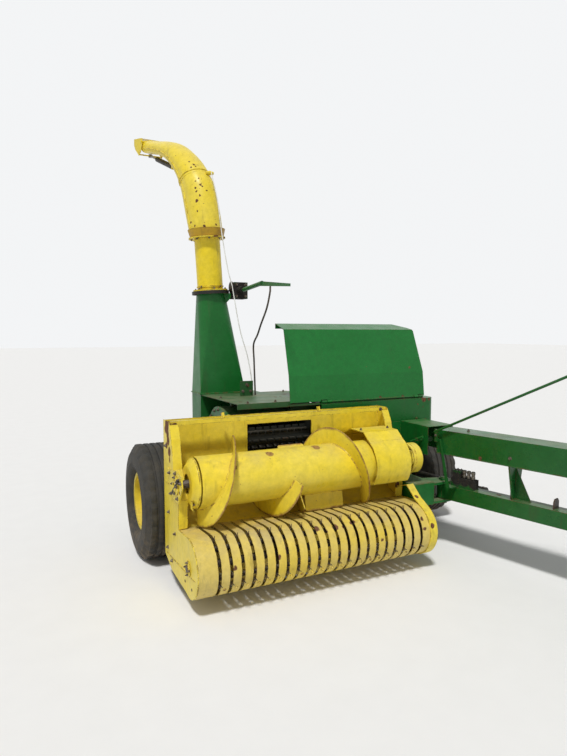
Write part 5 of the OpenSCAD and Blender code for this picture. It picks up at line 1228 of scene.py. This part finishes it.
for side in (-1, 1):
    tongue_lines.append((on_tongue(side * 0.050, 2.410, 0.494), on_tongue(side * 0.050, 2.350, 0.494)))
    high = tongue_high + side * 0.030
    tongue_lines.append((on_tongue(0.056, 0.480, high), on_tongue(0.056, 0.560, high)))
weld_beads("tongue_welds", "drawbar", tongue_lines, 0.0045, tongue_green)
shield_side, shield_low, shield_high = 0.100, 0.735, 0.910
shield_spots = []
for ahead in (0.575, 1.42, 2.255):
    for side in (-1, 1):
        shield_spots.append((*on_tongue(side * shield_side, ahead, 0.790), tuple(side * leftward)))
for ahead in (0.20, 1.0, 1.8, 2.38):
    shield_spots.append((*on_tongue(0.0, ahead, shield_high), (0, 0, 1)))
bolts("shield_bolts", "drawbar", shield_spots, width=0.016)
made = bmesh.new()
for side in (-1, 1):
    hem = [tongue_place @ Vector((side * (shield_side - 0.0015), -0.061 * step, shield_low + 0.001))
           for step in range(41)]
    tube_along(made, hem, 0.0042, 8, (0, 0, 1))
for ahead in (0.002, 2.438):
    arch = [tongue_place @ Vector((x, -ahead, z))
            for x, z in ((-0.0985, 0.740), (-0.0985, 0.9075), (0.0985, 0.9075), (0.0985, 0.740))]
    tube_along(made, arch, 0.0038, 8, tuple(forward))
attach(finished("shield_hems", made, shield_green, 40), "drawbar")
made = bmesh.new()
lug = moved(tongue_place, (0, -0.840, 0.494), ("X", 90))
flat_plate(made, [(-0.035, 0), (0.035, 0), (0.035, 0.045), (0.020, 0.065), (-0.020, 0.065),
                  (-0.035, 0.045)], lug, 0.007)
behind = moved(tongue_place, (-0.006, -0.556, 0.497), ("X", 90))
flat_plate(made, [(-0.040, 0), (0.046, 0), (0.046, 0.110), (-0.028, 0.110), (-0.040, 0.080)], behind, 0.006)
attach(finished("tongue_plates", made, cylinder_black, 30), "drawbar")
hitch_spots = [(*on_tongue(x, 2.375, 0.494), (0, 0, 1)) for x in (-0.028, 0.028)]
bolts("hitch_bolts", "drawbar", hitch_spots, width=0.022, height=0.013)

# Small parts on the tongue: the jack's crank knob and clamp, the valve's couplers, and
# clamps on the crank rod; turned steel and moulded black.
jack_across, jack_ahead = -0.138, 2.120
made = bmesh.new()
lathe(made, [(on_axis, 0.0), (0.013, 0.0), (0.0165, 0.006), (0.0165, 0.060), (0.012, 0.072),
             (on_axis, 0.074)], moved(tongue_place, (jack_across, -jack_ahead - 0.145, 0.836)), 28)
lathe(made, [(0.032, 0.0), (0.0365, 0.0), (0.0365, 0.012), (0.032, 0.014)],
      moved(tongue_place, (jack_across, -jack_ahead, 0.800)), 4)
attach(finished("jack_crank_knob", made, cylinder_black, 35), "drawbar")
jack_spots = [(*on_tongue(jack_across - 0.032, jack_ahead, high), tuple(-leftward))
              for high in (0.405, 0.475)]
bolts("jack_bolts", "drawbar", jack_spots, width=0.017)
made = bmesh.new()
for back in (0.260, 0.225, 0.190):
    lathe(made, [(on_axis, 0.624), (0.0115, 0.624), (0.0148, 0.620), (0.0148, 0.604), (0.0132, 0.602),
                 (0.0132, 0.588), (0.0150, 0.586), (0.0150, 0.572), (0.0110, 0.566), (0.0110, 0.564),
                 (on_axis, 0.564)], moved(tongue_place, (-0.020, -back, 0.0015)), 24)
coupler_steel = metal_finish("coupler_steel", (0.30, 0.28, 0.25, 1), (0.16, 0.13, 0.10, 1), rust=0.4)
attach(finished("valve_couplers", made, coupler_steel, 35), "drawbar")
valve_spots = [(*on_tongue(x, ahead, 0.619), (0, 0, 1))
               for x in (-0.035, -0.005) for ahead in (0.125, 0.155)]
bolts("valve_bolts", "drawbar", valve_spots, width=0.010, height=0.006)
rod_low, rod_slope = 0.895, math.tan(math.radians(26.4))
clamp_spots = [(*on_tongue(-0.136, ahead, rod_low + ahead * rod_slope - 0.030), tuple(-leftward))
               for ahead in (0.015, 1.4997)]
bolts("rod_bracket_bolts", "drawbar", clamp_spots, width=0.012, height=0.006)
